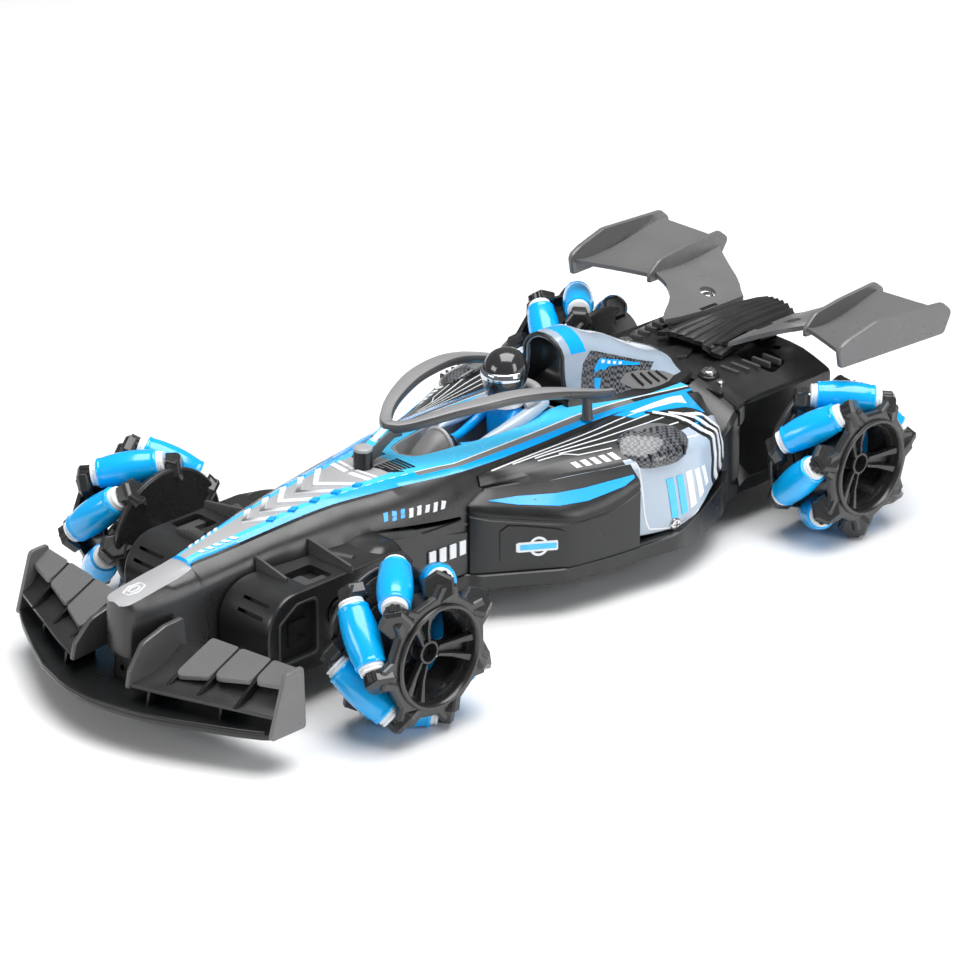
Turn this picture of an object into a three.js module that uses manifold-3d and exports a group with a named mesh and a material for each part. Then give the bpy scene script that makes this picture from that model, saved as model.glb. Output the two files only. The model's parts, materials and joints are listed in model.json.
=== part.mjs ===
// A formula-style remote control car on four mecanum wheels.
// Millimetres, +Z up. The nose points along -Y and the car's left side is +X.
import * as THREE from 'three';
import Module from 'manifold-3d';
import { mergeVertices } from 'three/addons/utils/BufferGeometryUtils.js';

const wasm = await Module();
wasm.setup();

// ---- driving dimensions ---------------------------------------------------------------------

const frontAxleY = -91;
const rearAxleY = 121;
const wheelRadius = 28;
const axleZ = wheelRadius - 0.25; // the wheels stand a little past a roller's middle
const wheelMidX = 65.7;
const rollersPerWheel = 7;
const rollerAxisRadius = 22;
const rollerMidRadius = 6;
const floorZ = 12;
const wall = 2;
const gap = 0.35;
const originShiftY = -2; // puts the middle of the outer box at the origin
const sides = { left: 1, right: -1 };

const colours = {
  black: 0x17181a,
  charcoal: 0x2c2e31,
  grey: 0x6f7276,
  paint: 0x9db0c2,
  blue: 0x1fa6ef,
  green: 0x1f6b3a,
  steel: 0xb8bcc2,
};

const axle = { front: frontAxleY, rear: rearAxleY };

// ---- geometry helpers -----------------------------------------------------------------------

function toSolid(geometry) {
  const plain = geometry.clone();
  plain.deleteAttribute('normal');
  plain.deleteAttribute('uv');
  const merged = mergeVertices(plain, 1e-4);
  return new wasm.Manifold(new wasm.Mesh({
    numProp: 3,
    vertProperties: new Float32Array(merged.attributes.position.array),
    triVerts: new Uint32Array(merged.index.array),
  }));
}

function toGeometry(solid) {
  const mesh = solid.getMesh();
  const geometry = new THREE.BufferGeometry();
  geometry.setAttribute('position', new THREE.BufferAttribute(mesh.vertProperties, 3));
  geometry.setIndex(new THREE.BufferAttribute(mesh.triVerts, 1));
  geometry.computeVertexNormals();
  return geometry;
}

const join = (first, ...rest) => rest.reduce((whole, piece) => whole.add(piece), first);
const cut = (first, ...rest) => rest.reduce((whole, piece) => whole.subtract(piece), first);

function box(x0, x1, y0, y1, z0, z1) {
  const geometry = new THREE.BoxGeometry(x1 - x0, y1 - y0, z1 - z0);
  geometry.translate((x0 + x1) / 2, (y0 + y1) / 2, (z0 + z1) / 2);
  return toSolid(geometry);
}

function rodX(x0, x1, y, z, radius, segments = 20) {
  const geometry = new THREE.CylinderGeometry(radius, radius, x1 - x0, segments);
  geometry.rotateZ(Math.PI / 2);
  geometry.translate((x0 + x1) / 2, y, z);
  return toSolid(geometry);
}

function rodZ(x, y, z0, z1, radius, segments = 16) {
  const geometry = new THREE.CylinderGeometry(radius, radius, z1 - z0, segments);
  geometry.rotateX(Math.PI / 2);
  geometry.translate(x, y, (z0 + z1) / 2);
  return toSolid(geometry);
}

// An outline of [a, b] points swept along one axis: x takes (y, z) points, z takes (x, y) points.
function prism(axisName, outline, from, to) {
  const shape = new THREE.Shape(outline.map(([a, b]) => new THREE.Vector2(a, b)));
  const geometry = new THREE.ExtrudeGeometry(shape, { depth: to - from, bevelEnabled: false });
  geometry.translate(0, 0, from);
  if (axisName === 'x') {
    geometry.applyMatrix4(new THREE.Matrix4().set(0, 0, 1, 0, 1, 0, 0, 0, 0, 1, 0, 0, 0, 0, 0, 1));
  }
  return toSolid(geometry);
}

// A closed skin over rings of points that all have the same count, with flat ends.
function loft(rings) {
  const count = rings[0].length;
  const positions = rings.flat(2);
  const index = [];
  for (let i = 0; i + 1 < rings.length; i += 1) {
    for (let j = 0; j < count; j += 1) {
      const a = i * count + j;
      const b = i * count + ((j + 1) % count);
      index.push(a, b, b + count, a, b + count, a + count);
    }
  }
  const last = (rings.length - 1) * count;
  for (const [i, j, k] of capTriangles(rings[0])) index.push(k, j, i);
  for (const [i, j, k] of capTriangles(rings.at(-1))) index.push(last + i, last + j, last + k);
  const geometry = new THREE.BufferGeometry();
  geometry.setAttribute('position', new THREE.Float32BufferAttribute(positions, 3));
  geometry.setIndex(index);
  if (signedVolume(positions, index) < 0) {
    for (let i = 0; i < index.length; i += 3) [index[i], index[i + 1]] = [index[i + 1], index[i]];
    geometry.setIndex(index);
  }
  return toSolid(geometry);
}

// Triangles of a flat ring, which keep the ring's own turning direction.
function capTriangles(ring) {
  const points = ring.map((p) => new THREE.Vector3(...p));
  const normal = new THREE.Vector3();
  points.forEach((p, i) => normal.add(p.clone().cross(points[(i + 1) % points.length])));
  normal.normalize();
  const helper = Math.abs(normal.z) < 0.9 ? new THREE.Vector3(0, 0, 1) : new THREE.Vector3(1, 0, 0);
  const u = helper.clone().cross(normal).normalize();
  const v = normal.clone().cross(u);
  const flat = points.map((p) => new THREE.Vector2(p.dot(u), p.dot(v)));
  return THREE.ShapeUtils.triangulateShape(flat, []);
}

function signedVolume(positions, index) {
  const corner = (i) => new THREE.Vector3().fromArray(positions, 3 * i);
  let six = 0;
  for (let i = 0; i < index.length; i += 3) {
    six += corner(index[i]).dot(corner(index[i + 1]).cross(corner(index[i + 2])));
  }
  return six;
}

// A plate of even thickness under a ruled surface between two edges of [x, y, z] points.
function plate(edgeA, edgeB, thickness) {
  const rings = edgeA.map(([xa, ya, za], i) => {
    const [xb, yb, zb] = edgeB[i];
    return [[xa, ya, za], [xb, yb, zb], [xb, yb, zb - thickness], [xa, ya, za - thickness]];
  });
  return loft(rings);
}

// A solid that touches the plane x = 0, joined to its mirror image.
const bothHalves = (half) => half.add(half.mirror([1, 0, 0]));

// Both halves of an outline given by its +X points, from front to rear.
const mirrored = (half) => [...half, ...half.map(([x, y]) => [-x, y]).reverse()];

function arc(centreA, centreB, radius, fromDegrees, toDegrees, steps) {
  return Array.from({ length: steps + 1 }, (_, i) => {
    const angle = THREE.MathUtils.degToRad(fromDegrees + (toDegrees - fromDegrees) * i / steps);
    return [centreA + radius * Math.cos(angle), centreB + radius * Math.sin(angle)];
  });
}

// ---- the car's meshes -----------------------------------------------------------------------

const car = new THREE.Group();
car.position.y = originShiftY;

function addMesh(name, solid, colour, parent = car) {
  const material = new THREE.MeshStandardMaterial({
    color: colours[colour],
    roughness: colour === 'blue' || colour === 'paint' ? 0.25 : 0.5,
    metalness: colour === 'steel' ? 0.9 : 0,
  });
  const mesh = new THREE.Mesh(toGeometry(solid), material);
  mesh.name = name;
  parent.add(mesh);
}

// Adds a piece built on the +X side, and its mirror image on the other side.
function addPair(name, solid, colour) {
  for (const [side, sign] of Object.entries(sides)) {
    addMesh(`${name}_${side}`, sign > 0 ? solid : solid.mirror([1, 0, 0]), colour);
  }
}

// ---- body shell: nose and cockpit surround --------------------------------------------------

// Stations along the car: y, top, edge x, edge z, shoulder x, shoulder z, flank x, bottom z.
const stations = [
  [-156, 42.6, 5.2, 40.6, 6.4, 37, 6.4, 24],
  [-130, 48.2, 5.2, 46.2, 9, 41.5, 10, 18],
  [-100, 52.8, 8, 50.8, 13, 46.5, 15.5, 15],
  [-70, 56.2, 12.4, 53.4, 18, 49, 21, 15],
  [-48, 55.4, 17, 53.4, 22, 49.4, 25, 15],
  [-22, 55.2, 21.5, 54.2, 24.4, 50, 26.6, 15],
  [10, 55.6, 23.6, 54.8, 25.2, 50.5, 26.6, 15],
  [34, 55.6, 24, 54.8, 25.2, 50.5, 26.6, 15],
  [84, 54, 23, 53, 24.4, 49, 25.4, 15],
];

// grow moves every face outwards, and sink opens the bottom downwards.
function shellSolid(grow, sink) {
  const rings = stations.map(([y, top, xe, ze, xs, zs, xf, zb], i) => {
    const end = i === 0 ? -grow : (i === stations.length - 1 ? grow : 0);
    const skin = [[xf, zb - sink], [xf, zs - 6], [xs, zs], [xe, ze]];
    const grown = skin.map(([x, z], k) => [x + grow, k === 0 ? z : z + grow]);
    return [[0, zb - sink], ...grown, [0, top + grow]].map(([x, z]) => [x, y + end, z]);
  });
  return bothHalves(loft(rings));
}

const shellOuter = shellSolid(0, 0);
const shellClearance = shellSolid(gap, 1);

const cockpitOutline = mirrored([
  [2.4, -32.6], [5.9, -30.7], [9.4, -16], [11.4, -5.5], [12.8, 7.5], [10.5, 22], [9.2, 33],
]);

function bodyShell() {
  const cockpit = prism('z', cockpitOutline, 40, 70);
  const motorNotch = box(-40, 40, -108, -74, 0, 41);
  const rearOpening = box(-21, 21, 60, 100, 0, 50);
  const hollow = shellSolid(-wall, 10).subtract(box(-20, 20, -170, -140, 0, 60));
  return cut(shellOuter, hollow, cockpit, motorNotch, rearOpening);
}

addMesh('body_shell', bodyShell(), 'charcoal');

// ---- engine cover with its air intake -------------------------------------------------------

// Sections: y, top z, top half width, middle z, middle half width, base half width.
const coverSections = [
  [37, 79.4, 5, 73, 9.6, 12],
  [47, 79.2, 5, 72, 9.6, 14],
  [60, 74.4, 5, 68, 11, 17],
  [72, 68.6, 5, 63.4, 12, 18],
  [84, 62.6, 5, 59.6, 12.4, 17],
  [94, 58.6, 5, 57.4, 10, 14],
];
const coverBaseZ = 56.1;

function coverLoft(inset) {
  const rings = coverSections.map(([y, top, xt, zm, xm, xb]) => {
    const skin = [[xb - inset, coverBaseZ - inset], [xm - inset, zm - inset], [xt, top - inset]];
    const half = [[0, coverBaseZ - inset], ...skin, [0, top - inset]];
    return half.map(([x, z]) => [x, y, z]);
  });
  return bothHalves(loft(rings));
}

function engineCover() {
  const intakeDish = rodZ(0, 33.4, 62, 77, 7.4, 20);
  const hollow = coverLoft(wall).intersect(box(-30, 30, 43, 90, 40, 90));
  return cut(coverLoft(0), hollow, intakeDish);
}

addMesh('engine_cover', engineCover(), 'paint');

// ---- side pods ------------------------------------------------------------------------------

// Sections: y, outer x, shoulder z, outer top z, base z. The inner side meets the body's flank.
const podSections = [
  [-19, 30, 45, 42.4, 40.2],
  [2, 42, 46.2, 42, 37.6],
  [7, 43.4, 47, 42, 35],
  [28, 48, 49.5, 43, 35],
  [54, 52, 51, 45, 35],
  [76, 48.5, 50, 44, 35],
  [90, 43, 47, 41, 35],
];
const podInnerX = 20;

function podLoft(inset) {
  const rings = podSections.map(([y, xo, zs, zo, base]) => [
    [podInnerX, y, base - 3 * inset],
    [xo - inset, y, base - 3 * inset],
    [xo - inset, y, zo - inset],
    [xo - 7, y, zs - inset],
    [podInnerX, y, 53 - inset],
  ]);
  return loft(rings);
}

function sidePod() {
  const rearSkirt = loft([
    [[42, 34, 17.4], [50.6, 34, 17.4], [49.6, 34, 35.5], [42, 34, 35.5]],
    [[42, 56, 17.4], [54, 56, 17.4], [52, 56, 35.5], [42, 56, 35.5]],
    [[40, 80, 17.4], [47.6, 80, 17.4], [47.2, 80, 35.5], [40, 80, 35.5]],
  ]);
  const skirtHollow = loft([
    [[30, 36, 10], [48.6, 36, 10], [47.6, 36, 36], [30, 36, 36]],
    [[30, 56, 10], [52, 56, 10], [50, 56, 36], [30, 56, 36]],
    [[30, 78.2, 10], [45.8, 78.2, 10], [45.4, 78.2, 36], [30, 78.2, 36]],
  ]);
  const upper = cut(podLoft(0), podLoft(wall).intersect(box(0, 60, -16, 88, 0, 60)));
  return cut(join(upper, rearSkirt), skirtHollow, shellClearance);
}

const podSolid = sidePod();
addPair('side_pod', podSolid, 'paint');

function intakeScoop() {
  const geometry = new THREE.SphereGeometry(1, 14, 8);
  geometry.scale(7.6, 13, 4.4);
  geometry.rotateY(THREE.MathUtils.degToRad(14));
  geometry.translate(42.4, 45, 49.4);
  const podTop = loft(podSections.map(([y, xo, zs, zo]) => [
    [podInnerX, y, 20],
    [xo + gap, y, 20],
    [xo + gap, y, zo + gap],
    [xo - 7 + gap, y, zs + gap],
    [podInnerX, y, 53 + gap],
  ]));
  return cut(toSolid(geometry), podTop, shellClearance);
}

addPair('intake_scoop', intakeScoop(), 'black');

// ---- chassis tub, battery door --------------------------------------------------------------

const floorOutline = mirrored([
  [6, -138.8], [10, -126], [35.6, -123], [35.6, -70], [24, -64], [27, -22],
  [50, 0], [52.5, 29], [56, 48], [49, 79], [40, 86], [40, 146],
]);
const batteryDoor = { x: 19, y0: 32, y1: 88 };
const switchSlot = { x: 6, y0: 100, y1: 106 };

// Black box in front of each side pod's painted skirt. Corners: x, y, rise of the top there.
const sillCorners = [[24, -19, 5], [29, -19, 5], [48, 2, 0], [50.5, 30, 0], [50.5, 33.2, 0], [24, 33.2, 0]];
const sillTopZ = 34.6;

function sillSolid(inset) {
  const ring = (z, lean, share) => sillCorners.map(([x, y, rise]) => [
    x - (x > 24 ? inset + lean : 0), y - Math.sign(y - 1) * inset, z - inset + share * rise,
  ]);
  return loft([ring(floorZ + wall, 0, 0), ring(sillTopZ - 2, 1, 1), ring(sillTopZ, 2.5, 1)]);
}

function chassisTub() {
  const floor = prism('z', floorOutline, floorZ, floorZ + wall);
  const rim = prism('z', floorOutline, floorZ, 17);
  const scale = (value) => value - Math.sign(value) * wall;
  const inside = prism('z', floorOutline.map(([x, y]) => [scale(x), y * 0.985]), floorZ + 1, 30);
  const sill = sillSolid(0).subtract(sillSolid(wall).add(box(20, 26, -17, 31, 16, 33)));
  const mirrorSill = sill.mirror([1, 0, 0]);
  const rearWalls = cut(box(-40, 40, 94, 146, floorZ, 46), box(-38, 38, 90, 144, floorZ + 1, 60));
  const axleHoles = rodX(-45, 45, rearAxleY, axleZ, 7);
  const doorHole = box(-batteryDoor.x, batteryDoor.x, batteryDoor.y0, batteryDoor.y1, 0, 20);
  const slot = box(-switchSlot.x, switchSlot.x, switchSlot.y0, switchSlot.y1, 0, 20);
  const tray = join(floor, cut(rim, inside), sill, mirrorSill, rearWalls);
  const podRoom = podLoft(-gap).translate([0, 0, -4 * gap]);
  return cut(tray, axleHoles, doorHole, slot, shellClearance, podRoom, podRoom.mirror([1, 0, 0]));
}

addMesh('chassis_tub', chassisTub(), 'black');
addMesh('battery_door', box(
  -batteryDoor.x + gap, batteryDoor.x - gap, batteryDoor.y0 + gap, batteryDoor.y1 - gap,
  floorZ, floorZ + wall,
), 'black');
addMesh('power_switch', join(
  box(-2.5, 2.5, 101, 105, floorZ + 0.2, 15),
  box(-8.5, 8.5, 100.5, 105.5, 14.4, 16),
), 'black');

// ---- front fairings over the front gearboxes ------------------------------------------------

const fairingBaseZ = 17 + gap;

function fairingProfile(inset) {
  const round = arc(-110, 30, 12 - inset, 180, 90, 6);
  const bottom = fairingBaseZ - 4 * inset;
  return [[-122 + inset, bottom], ...round, [-70 - inset, 42 - inset], [-70 - inset, bottom]];
}

function frontFairing() {
  const outer = prism('x', fairingProfile(0), 8, 36);
  const inner = prism('x', fairingProfile(wall), 0, 34);
  const axleHole = rodX(30, 40, frontAxleY, axleZ, 7);
  const finFront = loft([
    [[9, -109.4, 40], [9, -108, 40], [9, -108, 47], [9, -109.4, 47]],
    [[27, -109.4, 40], [27, -108, 40], [27, -108, 43.4], [27, -109.4, 43.4]],
  ]);
  const finRear = loft([
    [[14, -90.4, 40], [14, -87, 40], [14, -87, 48], [14, -90.4, 48]],
    [[36, -90.4, 40], [36, -87, 40], [36, -87, 44], [36, -90.4, 44]],
  ]);
  const block = join(cut(outer, inner, axleHole), finFront, finRear);
  return cut(block, shellClearance, box(-50, 17.4, -108.4, -73.6, 0, 41.4));
}

addPair('front_fairing', frontFairing(), 'charcoal');

// ---- front wing -----------------------------------------------------------------------------

function wingHalf() {
  const lower = prism('z', [
    [-3, -172], [12, -171], [25, -168], [44, -159], [62, -149], [63.6, -148], [63.6, -134],
    [24, -137], [-3, -142.5],
  ], 12.4, 14.4);
  const upper = plate(
    [[13.4, -164.4, 20.6], [40, -155, 20.6], [63, -146, 20.6]],
    [[13.4, -146, 24], [40, -141, 25], [63, -136, 27]],
    1.6,
  );
  const flap = plate(
    [[23.4, -153, 23.8], [36, -149.3, 25.2], [50, -144.6, 27.4], [63, -140, 29.4]],
    [[23.4, -136.6, 31], [36, -135.1, 32], [50, -133.8, 32.6], [63, -134, 33.6]],
    1.8,
  );
  const endPlate = prism('x', [[-148.2, 12.4], [-134, 12.4], [-134.5, 34], [-141.8, 33.6]], 62.2, 63.6);
  const fin = prism('x', [
    [-164.4, 19.2], [-163, 25], [-157, 31.9], [-146, 34.7], [-140, 35.2], [-140, 22], [-146, 21.5],
  ], 13, 14.6);
  const strut = prism('x', [[-163, 14], [-150, 14], [-150, 22], [-160.6, 20]], 20, 21.2);
  const ribs = [36, 50.6].map((x) => prism('x', [
    [-151 + 0.35 * (x - 36), 20], [-149 + 0.35 * (x - 36), 25 + 0.12 * (x - 36)],
    [-136, 31], [-136, 22],
  ], x, x + 1.2));
  return join(lower, upper, flap, endPlate, fin, strut, ...ribs);
}

function frontWing() {
  const half = wingHalf();
  const pillar = loft([12.4, 23.2].map((z) => [
    [-6, -143, z], [-6, -151, z], [-4, -154.6, z], [0, -155.6, z],
    [4, -154.6, z], [6, -151, z], [6, -143, z],
  ]));
  return join(half, half.mirror([1, 0, 0]), pillar).subtract(shellClearance);
}

addMesh('front_wing', frontWing(), 'black');

// ---- cockpit, driver, halo ------------------------------------------------------------------

const tubOutline = mirrored([
  [2, -31.8], [5.3, -30], [8.8, -15.9], [10.8, -5.5], [12.2, 7.5], [9.9, 22], [8.6, 32.4],
]);
const tubHollow = mirrored([
  [3.4, -28], [6.9, -15.6], [8.9, -5.3], [10.2, 7.2], [8, 21.4], [7, 30.4],
]);

function cockpitTub() {
  const bowl = prism('z', tubOutline, 36, 57);
  const hollow = prism('z', tubHollow, 38, 60);
  const dashboard = loft([
    [[-6.6, -20, 38], [6.6, -20, 38], [6.6, -20, 56], [-6.6, -20, 56]],
    [[-6.6, -14, 38], [6.6, -14, 38], [6.6, -14, 50], [-6.6, -14, 50]],
  ]);
  return bowl.subtract(hollow).add(dashboard);
}

addMesh('cockpit_tub', cockpitTub(), 'grey');

function lathe(profile, segments) {
  return new THREE.LatheGeometry(profile.map(([r, z]) => new THREE.Vector2(r, z)), segments);
}

function driverBust() {
  const geometry = lathe([
    [0, 38.4], [6.6, 38.4], [7.2, 50], [7.4, 59], [5, 62.5], [7, 65.5], [8, 71], [7, 76], [3.6, 78.8],
    [0, 79.4],
  ], 12);
  geometry.rotateX(Math.PI / 2);
  geometry.translate(0, 18, 0);
  return toSolid(geometry);
}

addMesh('driver', driverBust(), 'black');

// Right half of the halo's centre line: x, y, z, half width.
const haloLine = [
  [0, -36.6, 66.6, 2.4], [5.4, -33, 67, 2.4], [9.4, -27.6, 68.4, 2.5], [13.2, -19, 70.3, 2.8],
  [17, -9, 71.4, 3.2], [19.4, 1, 71.5, 3.4], [21.6, 11, 70.6, 3.3], [22.9, 24, 67.8, 2.8],
  [22.4, 38, 63.2, 2], [20.8, 50, 59.6, 1],
];

function haloRing(points) {
  const line = points.map(([x, y, z]) => new THREE.Vector3(x, y, z));
  const rings = line.map((centre, i) => {
    const before = line[Math.max(i - 1, 0)];
    const after = line[Math.min(i + 1, line.length - 1)];
    const along = after.clone().sub(before).setZ(0).normalize();
    const across = new THREE.Vector3(-along.y, along.x, 0).multiplyScalar(points[i][3]);
    const corner = (side, up) => [
      centre.x + side * across.x, centre.y + side * across.y, centre.z + up,
    ];
    return [corner(1, 1.6), corner(1, -1.6), corner(-1, -1.6), corner(-1, 1.6)];
  });
  return loft(rings);
}

function halo() {
  const leftHalf = haloLine.slice(1).reverse();
  const rightHalf = haloLine.slice(1).map(([x, y, z, w]) => [-x, y, z, w]);
  const ring = haloRing([...leftHalf, haloLine[0], ...rightHalf]);
  const strut = prism('x', [
    [-35, 68.2], [-37, 68.2], [-46, 64], [-50, 62], [-50, 56], [-44, 56], [-41, 61], [-35, 64.6],
  ], -2.2, 2.2);
  const foot = rodZ(0, -48.4, 50, 62.6, 3.4);
  const rearPosts = [-1, 1].map((side) => rodZ(side * 22.4, 36, 54, 64, 1.8, 10));
  return join(ring, strut, foot, ...rearPosts);
}

addMesh('halo', halo().subtract(shellClearance), 'grey');

// ---- rear deck, rear wing and its mount -----------------------------------------------------

function rearDeck() {
  const section = (inset, drop) => [
    [-40 + inset, 46.4 - drop], [-24, 52 - drop], [24, 52 - drop], [40 - inset, 46.4 - drop],
  ];
  const bar = (points, y0, y1) => loft([y0, y1].map((y) => points.map(([x, z]) => [x, y, z])));
  return cut(bar(section(0, 0), 94.6, 146), bar(section(3, wall), 97, 144));
}

addMesh('rear_deck', rearDeck(), 'black');

function rearWingHalf() {
  const outerPlate = loft([0, 1].map((side) => [
    [118.8, 62.1, 64.4], [117.5, 69.5, 64.3], [122, 71.8, 64.9], [136.7, 75.5, 66.4],
    [171, 73.4, 68.4], [176, 69.4, 68.4], [172.4, 61, 67.2],
  ].map(([y, z, x]) => [x + 1.3 * side, y, z])));
  const innerPlate = prism('x', [
    [132.3, 62.6], [132.3, 65.7], [137, 69.8], [151, 71.6], [170.4, 73], [176, 69], [172, 64.5],
  ], 37.7, 39);
  const plane = loft([
    [[38.2, 133, 65.6], [38.2, 150, 64.6], [38.2, 169, 69.6], [38.2, 169, 68], [38.2, 150, 62.8],
      [38.2, 133, 63.8]],
    [[52, 126.4, 66.8], [52, 148, 65.4], [52, 168, 70.2], [52, 168, 68.6], [52, 148, 63.6],
      [52, 126.4, 65]],
    [[65.4, 119.8, 67.6], [65.4, 146, 66], [67.6, 167, 71], [67.6, 167, 69.4], [65.4, 146, 64.2],
      [65.4, 119.8, 65.8]],
  ]);
  const saddle = loft([
    [[12.4, 133, 58.6], [12.4, 156, 58.8], [12.4, 156, 57], [12.4, 133, 56.8]],
    [[16, 132, 59.6], [16, 158, 60], [16, 158, 58.2], [16, 132, 57.8]],
    [[27, 134.5, 62.6], [27, 161, 63.4], [27, 161, 61.6], [27, 134.5, 60.8]],
    [[38.6, 133, 65.4], [38.6, 170, 67.6], [38.6, 170, 65.8], [38.6, 133, 63.6]],
  ]);
  return join(outerPlate, innerPlate, plane, saddle);
}

function rearWing() {
  const half = rearWingHalf();
  const bridge = box(-16, 16, 134, 143, 52 + gap, 54);
  const legs = [-1, 1].map((side) => box(side * 14.2 - 1.8, side * 14.2 + 1.8, 134, 143, 53, 58.4));
  return join(half, half.mirror([1, 0, 0]), bridge, ...legs);
}

addMesh('rear_wing', rearWing(), 'charcoal');

function rearWingCover() {
  const ring = (y, base, top, half) => [
    [-half, y, base], [-half, y, top - 3], [-half + 4, y, top], [half - 4, y, top],
    [half, y, top - 3], [half, y, base],
  ];
  const front = loft([ring(112, 52 + gap, 57.4, 15), ring(131, 52 + gap, 59, 11.6)]);
  const hollow = loft([ring(114, 50, 55.6, 12.6), ring(129.4, 50, 57, 9.6)]);
  const tail = loft([ring(129, 54.6, 59, 11.6), ring(152, 54.6, 59, 11), ring(161, 54.8, 58.4, 9)]);
  return cut(join(front, tail), hollow);
}

addMesh('rear_wing_cover', rearWingCover(), 'charcoal');

// ---- battery, control board and gear motors -------------------------------------------------

addMesh('battery_pack', box(-16, 16, 35, 86, 14.5, 31), 'blue');
addMesh('control_board', join(
  box(-17, 17, -52, 24, 30, 31.6),
  box(-8, 8, -40, -24, 31, 34.6),
), 'green');

function gearMotor(y, innerX, outerX) {
  const gearbox = box(outerX - 15, outerX - 1.5, y - 12, y + 12, 16.5, 39);
  const can = rodX(innerX, outerX - 14, y, axleZ, 9.6, 12);
  const boss = rodX(outerX - 2, outerX, y, axleZ, 5, 12);
  return join(gearbox, can, boss);
}

const motorEnds = { front: [3, 33.6], rear: [10, 37.6] };

// ---- mecanum wheels -------------------------------------------------------------------------

const rollerTurn = 360 / rollersPerWheel;
const spokeDegrees = [-8, 112, 232];
const wheelSpecs = {
  front: { y: axle.front, phase: 53.3, hand: 1 },
  rear: { y: axle.rear, phase: 33.3, hand: -1 },
};

// Places a solid built on a roller's own axes: X along the roller, Y tangent, Z outwards.
// hand is 1 where the roller's outer end lies at the larger angle.
function rollerMatrix(degrees, hand) {
  const angle = THREE.MathUtils.degToRad(degrees);
  const outward = new THREE.Vector3(0, Math.cos(angle), Math.sin(angle));
  const tangent = new THREE.Vector3(0, -Math.sin(angle), Math.cos(angle));
  const across = new THREE.Vector3(1, 0, 0);
  const along = across.clone().addScaledVector(tangent, hand).normalize();
  const side = outward.clone().cross(along);
  const matrix = new THREE.Matrix4().makeBasis(along, side, outward);
  matrix.setPosition(outward.multiplyScalar(rollerAxisRadius).add(new THREE.Vector3(wheelMidX, 0, 0)));
  return matrix;
}

function rollerGeometry() {
  const end = [[0, -13], [3.6, -13], [4.8, -10], [5.6, -5]];
  const profile = [...end, [rollerMidRadius, 0], ...end.map(([r, t]) => [r, -t]).reverse()];
  const geometry = lathe(profile, 8);
  geometry.rotateZ(-Math.PI / 2);
  return geometry;
}

// A block behind one end of each roller, square to the roller's axis.
function lugs(spec, end) {
  return Array.from({ length: rollersPerWheel }, (_, k) => {
    const near = 13.3;
    const far = 18;
    const geometry = new THREE.BoxGeometry(far - near, 9, 11);
    geometry.translate(end * (near + far) / 2, spec.hand * end * 1.2, -1.6);
    geometry.applyMatrix4(rollerMatrix(spec.phase + k * rollerTurn, spec.hand));
    return toSolid(geometry);
  });
}

function outerPlate(spec) {
  const flange = cut(rodX(77.3, 80, 0, 0, 22.5, 21), rodX(70, 90, 0, 0, 15.6, 21));
  const rim = cut(rodX(77.3, 81.2, 0, 0, 17.9, 21), rodX(70, 90, 0, 0, 15.6, 21));
  const hub = rodX(72.6, 76.4, 0, 0, 4.4, 16);
  const spokes = spokeDegrees.map((degrees) => {
    const bar = new THREE.BoxGeometry(3, 13.6, 4.2);
    bar.rotateZ(-0.3);
    bar.translate(76.2, 9.6, 0);
    bar.rotateX(THREE.MathUtils.degToRad(degrees));
    return toSolid(bar);
  });
  const reach = rodX(60, 90, 0, 0, 27, 28);
  const outside = join(flange, rim, ...lugs(spec, 1).map((lug) => lug.intersect(reach)));
  return join(outside, hub, ...spokes).intersect(box(60, 81.2, -30, 30, -30, 30));
}

function innerPlate(spec, axleEndX) {
  const flange = rodX(51.4, 53.6, 0, 0, 23.5, 21);
  const sleeve = rodX(53, 72.2, 0, 0, 5.5, 16);
  const shaft = rodX(axleEndX, 52, 0, 0, 2.4, 12);
  const reach = rodX(40, 80, 0, 0, 27, 28);
  const clamp = box(50.2, 80, -30, 30, -30, 30);
  const blocks = lugs(spec, -1).map((lug) => lug.intersect(reach).intersect(clamp));
  return join(flange, sleeve, shaft, ...blocks);
}

for (const [end, spec] of Object.entries(wheelSpecs)) {
  const [innerX, outerX] = motorEnds[end];
  const outer = outerPlate(spec);
  const inner = innerPlate(spec, outerX + gap);
  for (const [side, sign] of Object.entries(sides)) {
    const motor = gearMotor(spec.y, innerX, outerX);
    addMesh(`${end}_${side}_gear_motor`, sign > 0 ? motor : motor.mirror([1, 0, 0]), 'steel');
    const wheel = new THREE.Group();
    wheel.position.set(0, spec.y, axleZ);
    wheel.scale.x = sign;
    car.add(wheel);
    addMesh(`${end}_${side}_wheel_outer_plate`, outer, 'charcoal', wheel);
    addMesh(`${end}_${side}_wheel_inner_plate`, inner, 'charcoal', wheel);
    for (let k = 0; k < rollersPerWheel; k += 1) {
      const geometry = rollerGeometry();
      geometry.applyMatrix4(rollerMatrix(spec.phase + k * rollerTurn, spec.hand));
      addMesh(`${end}_${side}_roller_${k + 1}`, toSolid(geometry), 'blue', wheel);
    }
  }
}

export default car;
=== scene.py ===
"""A formula-style remote control car on mecanum wheels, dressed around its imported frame.

Shapes are drawn in millimetres: X to the car's left, Y to its tail, Z up. The drawing's rear axle
is at Y = 121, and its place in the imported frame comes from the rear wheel's joint.
"""

import json
import math

import bmesh
import bpy
from mathutils import Matrix, Vector

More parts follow.
